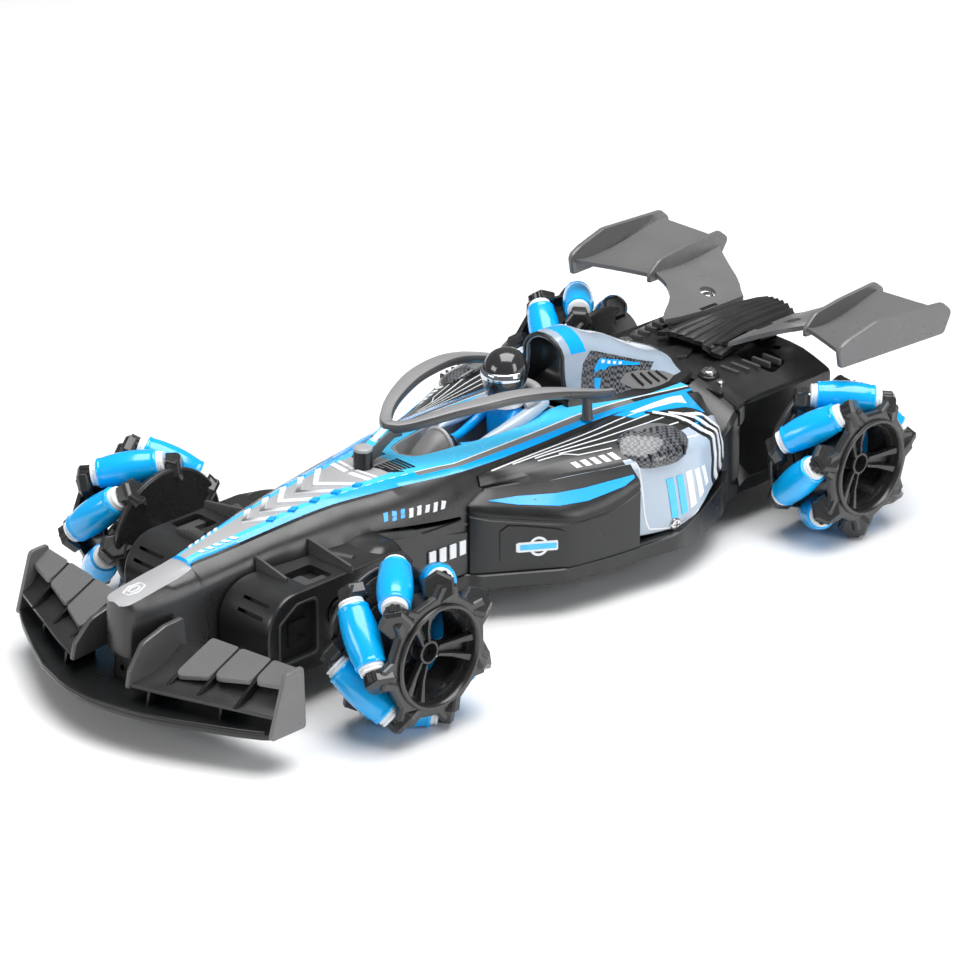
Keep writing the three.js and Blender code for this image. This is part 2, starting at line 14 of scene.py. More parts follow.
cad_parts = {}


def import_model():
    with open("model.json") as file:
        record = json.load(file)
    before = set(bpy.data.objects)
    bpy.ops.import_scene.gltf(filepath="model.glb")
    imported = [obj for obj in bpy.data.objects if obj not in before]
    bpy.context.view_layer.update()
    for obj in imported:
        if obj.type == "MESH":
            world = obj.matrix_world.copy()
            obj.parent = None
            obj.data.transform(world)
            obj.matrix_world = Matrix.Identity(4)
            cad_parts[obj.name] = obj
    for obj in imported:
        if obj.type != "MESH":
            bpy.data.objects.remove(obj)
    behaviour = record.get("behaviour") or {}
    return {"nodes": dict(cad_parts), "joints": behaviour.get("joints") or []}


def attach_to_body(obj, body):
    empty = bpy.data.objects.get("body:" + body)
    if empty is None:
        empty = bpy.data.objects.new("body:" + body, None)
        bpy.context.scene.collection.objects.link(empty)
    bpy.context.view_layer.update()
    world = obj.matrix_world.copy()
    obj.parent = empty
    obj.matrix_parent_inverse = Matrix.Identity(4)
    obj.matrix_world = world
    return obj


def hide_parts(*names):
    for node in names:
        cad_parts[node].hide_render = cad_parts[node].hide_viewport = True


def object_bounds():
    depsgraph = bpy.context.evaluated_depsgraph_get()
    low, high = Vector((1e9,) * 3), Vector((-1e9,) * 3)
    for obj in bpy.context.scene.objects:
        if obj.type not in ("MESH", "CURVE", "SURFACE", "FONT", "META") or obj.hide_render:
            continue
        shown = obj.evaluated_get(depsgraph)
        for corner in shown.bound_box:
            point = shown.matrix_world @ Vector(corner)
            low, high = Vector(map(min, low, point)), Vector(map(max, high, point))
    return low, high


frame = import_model()
cad_low, cad_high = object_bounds()
joints = {joint["name"]: joint for joint in frame["joints"]}

MM = 0.001
REAR_AXLE_Y = 121.0
SHIFT_Y = joints["rear_left_wheel_spin"]["pos_m"][1] / MM - REAR_AXLE_Y
FRONT_AXLE_Y = joints["front_left_wheel_spin"]["pos_m"][1] / MM - SHIFT_Y
AXLE_Z = joints["rear_left_wheel_spin"]["pos_m"][2] / MM
WHEEL_MID_X = joints["rear_left_wheel_spin"]["pos_m"][0] / MM
ROLLERS = 7
ROLLER_AXIS_R = 22.0
TURN = 360 / ROLLERS
SKIN_MERGE = 0.03
BEVEL_ANGLE = math.radians(32)


def row(point):
    """A point of the drawing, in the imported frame's metres."""
    x, y, z = point
    return (x * MM, (y + SHIFT_Y) * MM, z * MM)


# ---- shapes ---------------------------------------------------------------------------------


def circle(count):
    """The cosine and sine of count angles, evenly round a circle."""
    angles = [2 * math.pi * k / count for k in range(count)]
    return [(math.cos(a), math.sin(a)) for a in angles]


def sweep(start, end, pieces):
    """The cosine and sine of the angles from start to end, in degrees."""
    angles = [math.radians(start + (end - start) * k / pieces) for k in range(pieces + 1)]
    return [(math.cos(a), math.sin(a)) for a in angles]


class Shape:
    """Faces over points of the drawing, with a look (a material's number) for each face."""

    def __init__(self):
        self.points = []
        self.faces = []
        self.looks = []

    def add(self, points, faces, look=0):
        start = len(self.points)
        self.points.extend(tuple(point) for point in points)
        self.faces.extend(tuple(start + i for i in face) for face in faces)
        self.looks.extend([look] * len(faces))
        return self

    def loft(self, rings, closed=True, caps=(True, True), look=0):
        """A skin over rings of points. look is a number or a function of (ring, point)."""
        count = len(rings[0])
        steps = count if closed else count - 1
        start = len(self.points)
        for ring in rings:
            self.points.extend(tuple(point) for point in ring)
        for i in range(len(rings) - 1):
            for j in range(steps):
                k = (j + 1) % count
                a = start + i * count
                self.faces.append((a + j, a + k, a + count + k, a + count + j))
                self.looks.append(look(i, j) if callable(look) else look)
        for wanted, i in ((caps[0], 0), (caps[1], len(rings) - 1)):
            if wanted:
                first = start + i * count
                self.faces.append(tuple(range(first, first + count)))
                self.looks.append(look(i, 0) if callable(look) else look)
        return self

    def box(self, x0, x1, y0, y1, z0, z1, look=0):
        ring = [(x0, y0), (x1, y0), (x1, y1), (x0, y1)]
        return self.loft([[(x, y, z) for x, y in ring] for z in (z0, z1)], look=look)

    def prism(self, axis, outline, start, end, look=0):
        """An outline swept along an axis: x takes (y, z) points, y takes (x, z), z takes (x, y)."""
        column = "xyz".index(axis)
        rings = []
        for t in (start, end):
            rings.append([(*pair[:column], t, *pair[column:]) for pair in outline])
        return self.loft(rings, look=look)

    def spin(self, profile, centre, axis, segments=32, look=0, closed=False):
        """A profile of (along, radius) points turned about an axis. closed joins its two ends."""
        profile = [*profile, profile[0]] if closed else profile
        along = Vector(axis).normalized()
        side = along.orthogonal().normalized()
        other = along.cross(side)
        centre = Vector(centre)
        rings = []
        for distance, radius in profile:
            base = centre + along * distance
            rings.append([base + (side * c + other * s) * max(radius, 0.01) for c, s in circle(segments)])
        return self.loft(rings, caps=(not closed, not closed), look=look)

    def tube(self, path, radius, segments=10, look=0):
        """A round bar along points. radius is a number or a list with one for each point."""
        points = [Vector(p) for p in path]
        radii = radius if isinstance(radius, (list, tuple)) else [radius] * len(points)
        rings = []
        up = Vector((0, 0, 1))
        for i, point in enumerate(points):
            along = (points[min(i + 1, len(points) - 1)] - points[max(i - 1, 0)]).normalized()
            side = along.cross(up)
            side = side.normalized() if side.length > 1e-3 else Vector((1, 0, 0))
            other = side.cross(along)
            rings.append([point + (side * c + other * s) * radii[i] for c, s in circle(segments)])
        return self.loft(rings, look=look)

    def take(self, other, matrix=None, mirror=False):
        """Adds another shape, moved by a matrix or mirrored in X."""
        start = len(self.points)
        for point in other.points:
            moved = Vector(point)
            if mirror:
                moved.x = -moved.x
            if matrix is not None:
                moved = matrix @ moved
            self.points.append(tuple(moved))
        self.faces.extend(tuple(start + i for i in face) for face in other.faces)
        self.looks.extend(other.looks)
        return self

    def both(self):
        """The shape and its mirror image."""
        half = Shape().take(self)
        return self.take(half, mirror=True)

    def turned(self):
        """The mirror image alone."""
        return Shape().take(self, mirror=True)


def curve_row(rows, i, t):
    """The row at share t of the way from row i to row i + 1, on a smooth curve through the rows."""
    before, start, end = rows[max(i - 1, 0)], rows[i], rows[i + 1]
    after = rows[min(i + 2, len(rows) - 1)]
    span = end[0] - start[0]
    values = []
    for a, b, c, d in zip(before, start, end, after):
        lean_b = _lean(a, b, c, before[0], start[0], end[0]) * span
        lean_c = _lean(b, c, d, start[0], end[0], after[0]) * span
        values.append(_hermite(b, c, lean_b, lean_c, t))
    values[0] = start[0] + span * t
    return tuple(values)


def smooth_rows(rows, step):
    """Rows of numbers along a first column, filled in by a smooth curve through them."""
    filled = []
    for i in range(len(rows) - 1):
        pieces = max(1, round(abs(rows[i + 1][0] - rows[i][0]) / step))
        filled += [curve_row(rows, i, k / pieces) for k in range(pieces)]
    return filled + [tuple(rows[-1])]


def _lean(a, b, c, ya, yb, yc):
    """The slope at the middle of three points, flat where the middle one is a peak."""
    if yb == ya:
        return (c - b) / (yc - yb)
    if yc == yb:
        return (b - a) / (yb - ya)
    left = (b - a) / (yb - ya)
    right = (c - b) / (yc - yb)
    if left * right <= 0:
        return 0.0
    return 2 * left * right / (left + right)


def _hermite(b, c, lean_b, lean_c, t):
    cubic = t * t * t
    square = t * t
    return (
        b * (2 * cubic - 3 * square + 1)
        + c * (3 * square - 2 * cubic)
        + lean_b * (cubic - 2 * square + t)
        + lean_c * (cubic - square)
    )


def slab(top, depth):
    """A closed ring from a line of points and the same line lowered by depth."""
    return top + [(x, y, z - depth) for x, y, z in reversed(top)]


def cross(x, y, reach, low, high):
    """Cutters for a cross-head screw that faces up."""
    thin = 0.3
    return [Shape().box(x - reach, x + reach, y - thin, y + thin, low, high),
            Shape().box(x - thin, x + thin, y - reach, y + reach, low, high)]


def smooth_path(points, pieces=6):
    """Points filled in by a Catmull-Rom curve."""
    filled = []
    for i in range(len(points) - 1):
        p = [Vector(points[max(min(i + k, len(points) - 1), 0)]) for k in (-1, 0, 1, 2)]
        for k in range(pieces):
            t = k / pieces
            a = 2 * p[1]
            b = p[2] - p[0]
            c = 2 * p[0] - 5 * p[1] + 4 * p[2] - p[3]
            d = 3 * p[1] - p[0] - 3 * p[2] + p[3]
            filled.append(tuple(0.5 * (a + b * t + c * t * t + d * t * t * t)))
    filled.append(tuple(points[-1]))
    return filled


def rounded(outline, radius, steps=4):
    """A closed 2-D outline with its corners rounded. radius is a number or one for each corner."""
    count = len(outline)
    radii = radius if isinstance(radius, (list, tuple)) else [radius] * count
    made = []
    for i, corner in enumerate(outline):
        here = Vector(corner)
        back = Vector(outline[i - 1]) - here
        ahead = Vector(outline[(i + 1) % count]) - here
        if radii[i] <= 0:
            made.append(tuple(here))
            continue
        half = back.angle(ahead) / 2
        reach = min(radii[i] / max(math.tan(half), 1e-3), 0.48 * back.length, 0.48 * ahead.length)
        a = here + back.normalized() * reach
        b = here + ahead.normalized() * reach
        for k in range(steps + 1):
            t = k / steps
            made.append(tuple(a * (1 - t) ** 2 + here * 2 * t * (1 - t) + b * t * t))
    return made


def arc(cx, cy, radius, start, end, steps):
    """Points of a circle between two angles in degrees."""
    return [(cx + radius * c, cy + radius * s) for c, s in sweep(start, end, steps)]


# ---- pieces ---------------------------------------------------------------------------------


def make_mesh(name, shape, merge=0.01):
    mesh = bpy.data.meshes.new(name)
    mesh.from_pydata([row(point) for point in shape.points], [], shape.faces)
    mesh.polygons.foreach_set("material_index", shape.looks)
    tidy = bmesh.new()
    tidy.from_mesh(mesh)
    bmesh.ops.remove_doubles(tidy, verts=tidy.verts, dist=merge * MM)
    bmesh.ops.dissolve_degenerate(tidy, edges=tidy.edges, dist=1e-6)
    bmesh.ops.recalc_face_normals(tidy, faces=tidy.faces)
    tidy.to_mesh(mesh)
    tidy.free()
    return mesh


def apply_modifiers(obj):
    bpy.context.view_layer.update()
    graph = bpy.context.evaluated_depsgraph_get()
    finished = bpy.data.meshes.new_from_object(obj.evaluated_get(graph))
    obj.modifiers.clear()
    old = obj.data
    obj.data = finished
    bpy.data.meshes.remove(old)


def carve(obj, *shapes):
    """Cuts shapes out of a piece."""
    for shape in shapes:
        mesh = make_mesh("cutter", shape)
        cutter = bpy.data.objects.new("cutter", mesh)
        bpy.context.scene.collection.objects.link(cutter)
        for slot in obj.material_slots:
            mesh.materials.append(slot.material)
        boolean = obj.modifiers.new("cut", "BOOLEAN")
        boolean.operation = "DIFFERENCE"
        boolean.object = cutter
        boolean.solver = "EXACT"
        boolean.material_mode = "INDEX"
        apply_modifiers(obj)
        bpy.data.objects.remove(cutter)
        bpy.data.meshes.remove(mesh)


def bevel(obj, width):
    modifier = obj.modifiers.new("bevel", "BEVEL")
    modifier.width = width * MM
    modifier.segments = 2
    modifier.limit_method = "ANGLE"
    modifier.angle_limit = BEVEL_ANGLE
    modifier.harden_normals = False


def shade(mesh, angle):
    mesh.polygons.foreach_set("use_smooth", [True] * len(mesh.polygons))
    mesh.set_sharp_from_angle(angle=math.radians(angle))


def placed(name, mesh, looks):
    """A linked object with materials by name."""
    obj = bpy.data.objects.new(name, mesh)
    bpy.context.scene.collection.objects.link(obj)
    for look in [looks] if isinstance(looks, str) else looks:
        mesh.materials.append(M[look])
    return obj


def attach(obj, replaces, body="chassis"):
    """Says which body a piece rides on, and the CAD nodes it stands for."""
    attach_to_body(obj, body)
    if replaces:
        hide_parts(*replaces)


def piece(name, shape, looks, slot, replaces=(), body="chassis", edge=0.0, cuts=(), smooth=34):
    """Makes one piece: its mesh, cuts, rounded edges, materials, and the body it rides on."""
    obj = placed(name, make_mesh(name, shape), looks)
    carve(obj, *cuts)
    if edge > 0:
        bevel(obj, edge)
        apply_modifiers(obj)
    shade(obj.data, smooth)
    if edge > 0:
        modifier = obj.modifiers.new("normals", "WEIGHTED_NORMAL")
        modifier.keep_sharp = True
    attach(obj, replaces, body)


def walled(name, skin, looks, replaces, thickness, smooth, cuts=()):
    """A piece made from an open skin by giving it a wall on its inner side."""
    obj = placed(name, make_mesh(name, skin, SKIN_MERGE), looks)
    wall = obj.modifiers.new("wall", "SOLIDIFY")
    wall.thickness = thickness * MM
    wall.offset = -1
    apply_modifiers(obj)
    carve(obj, *cuts)
    shade(obj.data, smooth)
    attach(obj, replaces)


SIDES = {"left": 1, "right": -1}


def pair(name, shape, looks, slot, replaces=None, cuts=(), **rest):
    """The same piece on both sides of the car, as mirror images."""
    for side, sign in SIDES.items():
        shown = shape if sign > 0 else shape.turned()
        side_cuts = cuts if sign > 0 else [cut.turned() for cut in cuts]
        stands_for = () if replaces is None else (replaces.format(side),)
        piece(f"{name}_{side}", shown, looks, slot, stands_for, cuts=side_cuts, **rest)


# ---- materials ------------------------------------------------------------------------------


class Look:
    """Builds one Principled material, with a texture of its own in the object's space."""

    def __init__(self, name, colour, roughness, metallic=0.0, coat=0.0, specular=0.5):
        self.material = bpy.data.materials.new(name)
        self.material.use_nodes = True
        self.nodes = self.material.node_tree.nodes
        self.links = self.material.node_tree.links
        self.shader = self.nodes["Principled BSDF"]
        self.colour = colour
        self.roughness = roughness
        self.shader.inputs["Base Color"].default_value = (*colour, 1)
        self.shader.inputs["Roughness"].default_value = roughness
        self.shader.inputs["Metallic"].default_value = metallic
        self.shader.inputs["Coat Weight"].default_value = coat
        self.shader.inputs["Coat Roughness"].default_value = 0.06
        self.shader.inputs["Specular IOR Level"].default_value = specular
        self.place = self.nodes.new("ShaderNodeTexCoord")

    def noise(self, scale, detail=3.0, stretch=(1, 1, 1)):
        mapping = self.nodes.new("ShaderNodeMapping")
        mapping.inputs["Scale"].default_value = stretch
        texture = self.nodes.new("ShaderNodeTexNoise")
        texture.inputs["Scale"].default_value = scale
        texture.inputs["Detail"].default_value = detail
        self.links.new(self.place.outputs["Object"], mapping.inputs["Vector"])
        self.links.new(mapping.outputs["Vector"], texture.inputs["Vector"])
        return texture.outputs["Fac"]

    def spread(self, source, low, high):
        """Maps a noise's middle range to low..high."""
        remap = self.nodes.new("ShaderNodeMapRange")
        remap.inputs["From Min"].default_value = 0.3
        remap.inputs["From Max"].default_value = 0.7
        remap.inputs["To Min"].default_value = low
        remap.inputs["To Max"].default_value = high
        self.links.new(source, remap.inputs["Value"])
        return remap.outputs["Result"]

    def tint(self, source, amount):
        """Varies the base colour by a share of itself."""
        mix = self.nodes.new("ShaderNodeMix")
        mix.data_type = "RGBA"
        mix.inputs["A"].default_value = (*[c * (1 - amount) for c in self.colour], 1)
        mix.inputs["B"].default_value = (*[min(1, c * (1 + amount)) for c in self.colour], 1)
        self.links.new(source, mix.inputs["Factor"])
        self.links.new(mix.outputs["Result"], self.shader.inputs["Base Color"])
        return mix

    def rough(self, source, spread):
        value = self.spread(source, self.roughness - spread, self.roughness + spread)
        self.links.new(value, self.shader.inputs["Roughness"])

    def bump(self, source, distance, strength=1.0):
        node = self.nodes.new("ShaderNodeBump")
        node.inputs["Strength"].default_value = strength
        node.inputs["Distance"].default_value = distance * MM
        self.links.new(source, node.inputs["Height"])
        self.links.new(node.outputs["Normal"], self.shader.inputs["Normal"])


def plastic(name, colour, roughness, grain=0.012, grain_scale=2600, coat=0.0, vary=0.06, specular=0.5):
    """Moulded plastic: cloudy colour, uneven gloss and a fine grain."""
    look = Look(name, colour, roughness, coat=coat, specular=specular)
    cloud = look.noise(38, 4)
    look.tint(look.spread(cloud, 0, 1), vary)
    look.rough(look.noise(120, 3), 0.05)
    look.bump(look.noise(grain_scale, 2), grain, 0.6)
    return look.material


def metal(name, colour, roughness, stretch=(1, 1, 14)):
    look = Look(name, colour, roughness, metallic=1.0)
    look.tint(look.spread(look.noise(160, 3, stretch), 0, 1), 0.08)
    look.rough(look.noise(300, 2, stretch), 0.05)
    look.bump(look.noise(900, 2, stretch), 0.006, 0.4)
    return look.material


def carbon(name, size=1.15):
    """A printed twill weave under a clear coat: two shades in a stepped check."""
    look = Look(name, (0.03, 0.032, 0.036), 0.3, coat=0.6)
    wave = look.nodes.new("ShaderNodeTexChecker")
    wave.inputs["Scale"].default_value = 1 / (size * MM)
    wave.inputs["Color1"].default_value = (0.012, 0.013, 0.015, 1)
    wave.inputs["Color2"].default_value = (0.13, 0.14, 0.155, 1)
    turn = look.nodes.new("ShaderNodeMapping")
    turn.inputs["Rotation"].default_value = (0.55, 0.4, 0.78)
    look.links.new(look.place.outputs["Object"], turn.inputs["Vector"])
    look.links.new(turn.outputs["Vector"], wave.inputs["Vector"])
    look.links.new(wave.outputs["Color"], look.shader.inputs["Base Color"])
    look.rough(look.noise(500, 2), 0.06)
    look.bump(wave.outputs["Fac"], 0.05, 0.4)
    return look.material


LIGHT_CYAN = (0.07, 0.60, 1.0)
CYAN = (0.0, 0.40, 1.0)
M = {
    "black": plastic("moulded_black", (0.008, 0.0085, 0.009), 0.32, specular=0.55),
    "shell": plastic("shell_charcoal", (0.02, 0.02, 0.021), 0.3, specular=0.6),
    "charcoal": plastic("moulded_charcoal", (0.018, 0.0183, 0.0187), 0.32, specular=0.6),
    "grey": plastic("moulded_grey", (0.17, 0.17, 0.172), 0.4),
    "halo": plastic("satin_halo_grey", (0.27, 0.27, 0.275), 0.34),
    # Light grey that stands in for the light the dark plastic reflects on upward faces: a painted highlight,
    # used on the nose top, two rims and the halo post's cap.
    "top_grey": plastic("painted_top_highlight", (0.40, 0.40, 0.41), 0.36),
    "wing": plastic("wing_charcoal", (0.07, 0.07, 0.071), 0.32, specular=0.6),
    "satin": plastic("satin_wing_grey", (0.15, 0.15, 0.152), 0.3, specular=0.6),
    "wheel": plastic("wheel_charcoal", (0.022, 0.022, 0.0225), 0.28, specular=0.7),
    "paint": plastic("blue_grey_paint", (0.36, 0.44, 0.54), 0.2, grain=0.004, coat=0.5, vary=0.03),
    "pale": plastic("pale_paint", (0.46, 0.55, 0.66), 0.2, grain=0.004, coat=0.5, vary=0.03),
    "cyan": plastic("deep_cyan_film", CYAN, 0.24, grain=0.003, coat=0.4, vary=0.03),
    "light_cyan": plastic("light_cyan_film", LIGHT_CYAN, 0.24, grain=0.003, coat=0.4, vary=0.03),
    "white": plastic("white_film", (0.86, 0.88, 0.9), 0.3, grain=0.003, vary=0.02),
    "cap": plastic("roller_cap_white", (0.88, 0.89, 0.9), 0.28, grain=0.004, vary=0.02),
    "roller": plastic("roller_sky_blue", (0.0, 0.45, 1.0), 0.18, grain=0.003, coat=0.5, vary=0.04),
    "helmet": plastic("helmet_black", (0.025, 0.025, 0.027), 0.16, grain=0.002, coat=0.8, vary=0.05),
    "steel": metal("plated_steel", (0.62, 0.62, 0.62), 0.22),
    "visor": metal("visor_silver", (0.62, 0.66, 0.72), 0.12),
    "motor": metal("motor_can", (0.55, 0.56, 0.58), 0.34),
    "carbon": carbon("carbon_weave"),
    "battery": plastic("battery_shrink_wrap", (0.05, 0.2, 0.55), 0.25, grain=0.03, grain_scale=300,
                       coat=0.3),
    "board": plastic("solder_mask_green", (0.02, 0.16, 0.06), 0.35, grain=0.05, grain_scale=700),
}


# ---- skins: surfaces drawn as curves along the car --------------------------------------------


def read(curve, y):
    """A curve's value at y. A curve is a list of (y, value) pairs."""
    if y <= curve[0][0]:
        return curve[0][1]
    for i in range(len(curve) - 1):
        start, end = curve[i][0], curve[i + 1][0]
        if y <= end:
            return curve_row(curve, i, (y - start) / (end - start))[1]
    return curve[-1][1]


class Skin:
    """A surface whose section at each y is a line of (x, z) points, numbered by s."""

    def __init__(self, section):
        self.section = section

    def point(self, y, s):
        line = self.section(y)
        i = max(0, min(int(s), len(line) - 2))
        t = s - i
        (xa, za), (xb, zb) = line[i], line[i + 1]
        return Vector((xa + (xb - xa) * t, y, za + (zb - za) * t))

    def normal(self, y, s):
        along = self.point(y + 0.4, s) - self.point(y - 0.4, s)
        across = self.point(y, s + 0.05) - self.point(y, s - 0.05)
        out = along.cross(across)
        if out.length < 1e-6:
            return Vector((0, 0, 1))
        out.normalize()
        return out if out.z + 0.3 * out.x >= 0 else -out

    def sheet(self, ys, look):
        rings = [[(x, y, z) for x, z in self.section(y)] for y in ys]
        names = lambda i, j: look((ys[i] + ys[i + 1]) / 2, j)
        return Shape().loft(rings, closed=False, caps=(False, False), look=names)

    def band(self, left, right, look=0, lift=0.14, sink=0.25, across=3, pieces=5):
        """A thin film on the skin between two lines of (y, s) points of equal count."""
        rings = []
        left = _fill(left, pieces)
        right = _fill(right, pieces)
        for (ya, sa), (yb, sb) in zip(left, right):
            spots = []
            for k in range(across + 1):
                t = k / across
                spots.append((ya + (yb - ya) * t, sa + (sb - sa) * t))
            top = [self.point(*q) + self.normal(*q) * lift for q in spots]
            under = [self.point(*q) - self.normal(*q) * sink for q in reversed(spots)]
            rings.append(top + under)
        return Shape().loft(rings, look=look)

    def line(self, path, width, look=0, **rest):
        """A film of even width along a line of (y, s) points."""
        path = _fill(path, rest.pop("pieces", 6))
        left, right = [], []
        for i, (y, s) in enumerate(path):
            before = self.point(*path[max(i - 1, 0)])
            after = self.point(*path[min(i + 1, len(path) - 1)])
            along = (after - before).normalized()
            side = along.cross(self.normal(y, s)) * (width / 2)
            step_y = (self.point(y + 0.5, s) - self.point(y - 0.5, s))
            step_s = (self.point(y, s + 0.05) - self.point(y, s - 0.05)) / 0.1
            shift_y, shift_s = _solve(step_y, step_s, side)
            left.append((y - shift_y, s - shift_s))
            right.append((y + shift_y, s + shift_s))
        return self.band(left, right, look=look, pieces=1, **rest)


def _solve(first, second, target):
    """The two weights that bring target closest to a sum of first and second."""
    a, b, c = first.dot(first), first.dot(second), second.dot(second)
    p, q = first.dot(target), second.dot(target)
    whole = a * c - b * b
    if abs(whole) < 1e-9:
        return 0.0, 0.0
    return (p * c - q * b) / whole, (a * q - b * p) / whole


def _fill(points, pieces):
    filled = []
    for (ya, sa), (yb, sb) in zip(points[:-1], points[1:]):
        filled += [(ya + (yb - ya) * k / pieces, sa + (sb - sa) * k / pieces) for k in range(pieces)]
    return filled + [points[-1]]


def steps(start, end, size):
    count = max(1, round((end - start) / size))
    return [start + (end - start) * k / count for k in range(count + 1)]


# ---- body shell -------------------------------------------------------------------------------

COCKPIT_FRONT = -33.0
STEP_Y = -128.7
NOSE_TIP = -157.4

TOP_Z = [(-157.4, 42.2), (-155, 42.8), (-142, 45), (-129.4, 47), (-128.6, 48.5), (-115, 50.6), (-100, 52.3),
         (-85, 54.2), (-70, 55.4), (-55, 55.5), (-33, 55.4), (-10, 55.6), (30, 55.6), (60, 54.4), (88, 53)]
INNER_X = [(-157.4, 0), (-33.2, 0), (-32.6, 2.4), (-30.7, 5.7), (-24, 8), (-16, 9.5), (-5.5, 11.4),
           (7.5, 12.7),
           (16, 11.8), (24, 10), (34, 9.3), (44, 10.6), (57, 12), (88, 15)]
PANEL_X = [(-157.4, 0.4), (-155, 1), (-129, 1.5), (-110, 3.4), (-100, 4.3), (-80, 5.9), (-70, 7), (-50, 9.2),
           (-40, 10), (-24, 12.6), (-5.5, 14.6), (7.5, 15.4), (24, 14), (44, 14.2), (88, 18)]
PIN_IN_X = [(-157.4, 0.8), (-155, 2), (-129, 2.7), (-110, 4.8), (-100, 5.9), (-80, 7.9), (-70, 9.1),
            (-50, 11.9),
            (-40, 13.6), (-30, 16), (-23, 18), (10, 18.4), (34, 18.1), (50, 18.4), (88, 24)]
PIN_OUT_X = [(-157.4, 1), (-155, 2.2), (-129, 2.9), (-110, 5), (-100, 6.1), (-80, 8.1), (-70, 9.3),
             (-50, 12.1),
             (-40, 13.9), (-30, 16.4), (-23, 18.5), (10, 19), (34, 18.7), (50, 19), (88, 24.6)]
LOWER_IN_X = [(-157.4, 1.6), (-155, 4), (-129, 3.4), (-110, 5.9), (-100, 7), (-80, 9.2), (-70, 10.8),
              (-50, 14.2),
              (-40, 15.8), (-30, 18.2), (-23, 20.2), (10, 21.2), (34, 21.4), (60, 22), (88, 25.6)]
EDGE_X = [(-157.4, 2.4), (-156.6, 4), (-155, 5.1), (-150, 5.5), (-142, 5.5), (-129.4, 5.0), (-128.6, 3.9),
          (-120, 5.1), (-110, 6.7), (-100, 8), (-90, 9), (-80, 10.5), (-70, 12.4), (-60, 14.3), (-50, 16.5),
          (-40, 19), (-30, 21.6), (-22, 22.9), (-6, 24), (10, 24.2), (34, 23.8), (60, 24.2), (88, 26)]
EDGE_Z = [(-157.4, 41.6), (-155, 42.2), (-142, 44.2), (-129.4, 46.3), (-128.6, 47.3), (-120, 48.4),
          (-110, 49.7),
          (-100, 50.9), (-90, 51.8), (-80, 52.8), (-70, 53.4), (-50, 53.4), (-22, 53.3), (34, 53.4),
          (60, 52.6),
          (88, 51.4)]
SHOULDER_X = [(-157.4, 2.9), (-156.6, 4.7), (-155, 6), (-150, 6.9), (-142, 7.6), (-129, 8.8), (-110, 11),
              (-100, 12.2), (-80, 15), (-70, 16.6), (-50, 20.2), (-30, 23.4), (-10, 25), (34, 25),
              (88, 26.6)]
SHOULDER_Z = [(-157.4, 40.4), (-155, 40.6), (-142, 41.6), (-129, 43.6), (-110, 46.5), (-100, 48), (-80, 50),
              (-70, 50.6), (-50, 51.2), (-20, 51.4), (34, 51.4), (88, 50)]
SIDE_X = [(-157.4, 3), (-156.6, 4.9), (-155, 6.4), (-150, 7.6), (-142, 8.6), (-129, 10.2), (-110, 12.8),
          (-100, 14.2), (-80, 17.6), (-70, 19.4), (-50, 23.2), (-30, 25.8), (-10, 26.4), (34, 26.4),
          (88, 26.8)]
SIDE_Z = [(-157.4, 37.8), (-155, 37.6), (-142, 38.4), (-129, 40.4), (-110, 43), (-100, 44.2), (-80, 45.6),
          (-70, 46), (-50, 46.6), (-20, 46.8), (88, 46)]
FLANK_X = [(-157.4, 3), (-156.6, 5), (-155, 6.4), (-150, 7.8), (-142, 9), (-129, 10.8), (-100, 15.4),
           (-80, 19.2),
           (-70, 21), (-50, 24.6), (-30, 26.4), (-10, 26.7), (88, 26.8)]
BOTTOM_Z = [(-157.4, 24), (-150, 21.5), (-142, 19.5), (-129, 17.6), (-100, 15.3), (88, 15.2)]
LEDGE_DEPTH = [(-157.4, 0.05), (-129.4, 0.05), (-128.6, 0.9), (-100, 1.1), (-60, 0.9), (-40, 0.2), (88, 0.2)]


def body_section(y):
    top, edge_z, edge_x = read(TOP_Z, y), read(EDGE_Z, y), read(EDGE_X, y)
    drop = top - edge_z
    inner = read(INNER_X, y)
    line = [(inner, top)]
    for curve, share in ((PANEL_X, 0.08), (PIN_IN_X, 0.3), (PIN_OUT_X, 0.33), (LOWER_IN_X, 0.62)):
        line.append((max(read(curve, y), inner + 0.02), top - drop * share))
    line.append((edge_x, edge_z))
    line.append((edge_x + 0.25, edge_z - read(LEDGE_DEPTH, y)))
    line.append((read(SHOULDER_X, y), read(SHOULDER_Z, y)))
    line.append((read(SIDE_X, y), read(SIDE_Z, y)))
    low = read(BOTTOM_Z, y)
    line.append((read(FLANK_X, y), read(SIDE_Z, y) - 6))
    line.append((read(FLANK_X, y), low))
    return line


body_skin = Skin(body_section)
# The light grey look in this list is a painted highlight on the nose's upward faces.
SHELL_LOOKS = ["shell", "top_grey", "light_cyan", "cyan", "white", "black", "charcoal", "grey"]
SHELL, TOP_HIGHLIGHT, LIGHT, DEEP, WHITE, BLACK, CHARCOAL, GREY = range(8)
DASH = 2.4


def shell_look(y, j):
    """The colour of the shell's strip j at y: printed bands, and light grey painted as a highlight on the
    top of the nose.
    """
    if j >= 6:
        return SHELL
    # The whole top of the nose ahead of the step is painted light grey as a highlight.
    if y < STEP_Y - 0.4:
        return TOP_HIGHLIGHT
    if j == 5:
        return BLACK
    if y < STEP_Y + 0.3:
        return DEEP
    if y < COCKPIT_FRONT - 6:
        dashed = j == 2 and y > -70 and int((y + 200) / DASH) % 2
        # The middle strip of the top, first in the list, is painted light grey as a highlight; the others
        # are printed bands.
        return WHITE if dashed else [TOP_HIGHLIGHT, LIGHT, LIGHT, DEEP, DEEP][j]
    return [LIGHT, LIGHT, WHITE, GREY if y < 60 else CHARCOAL, DEEP][j]


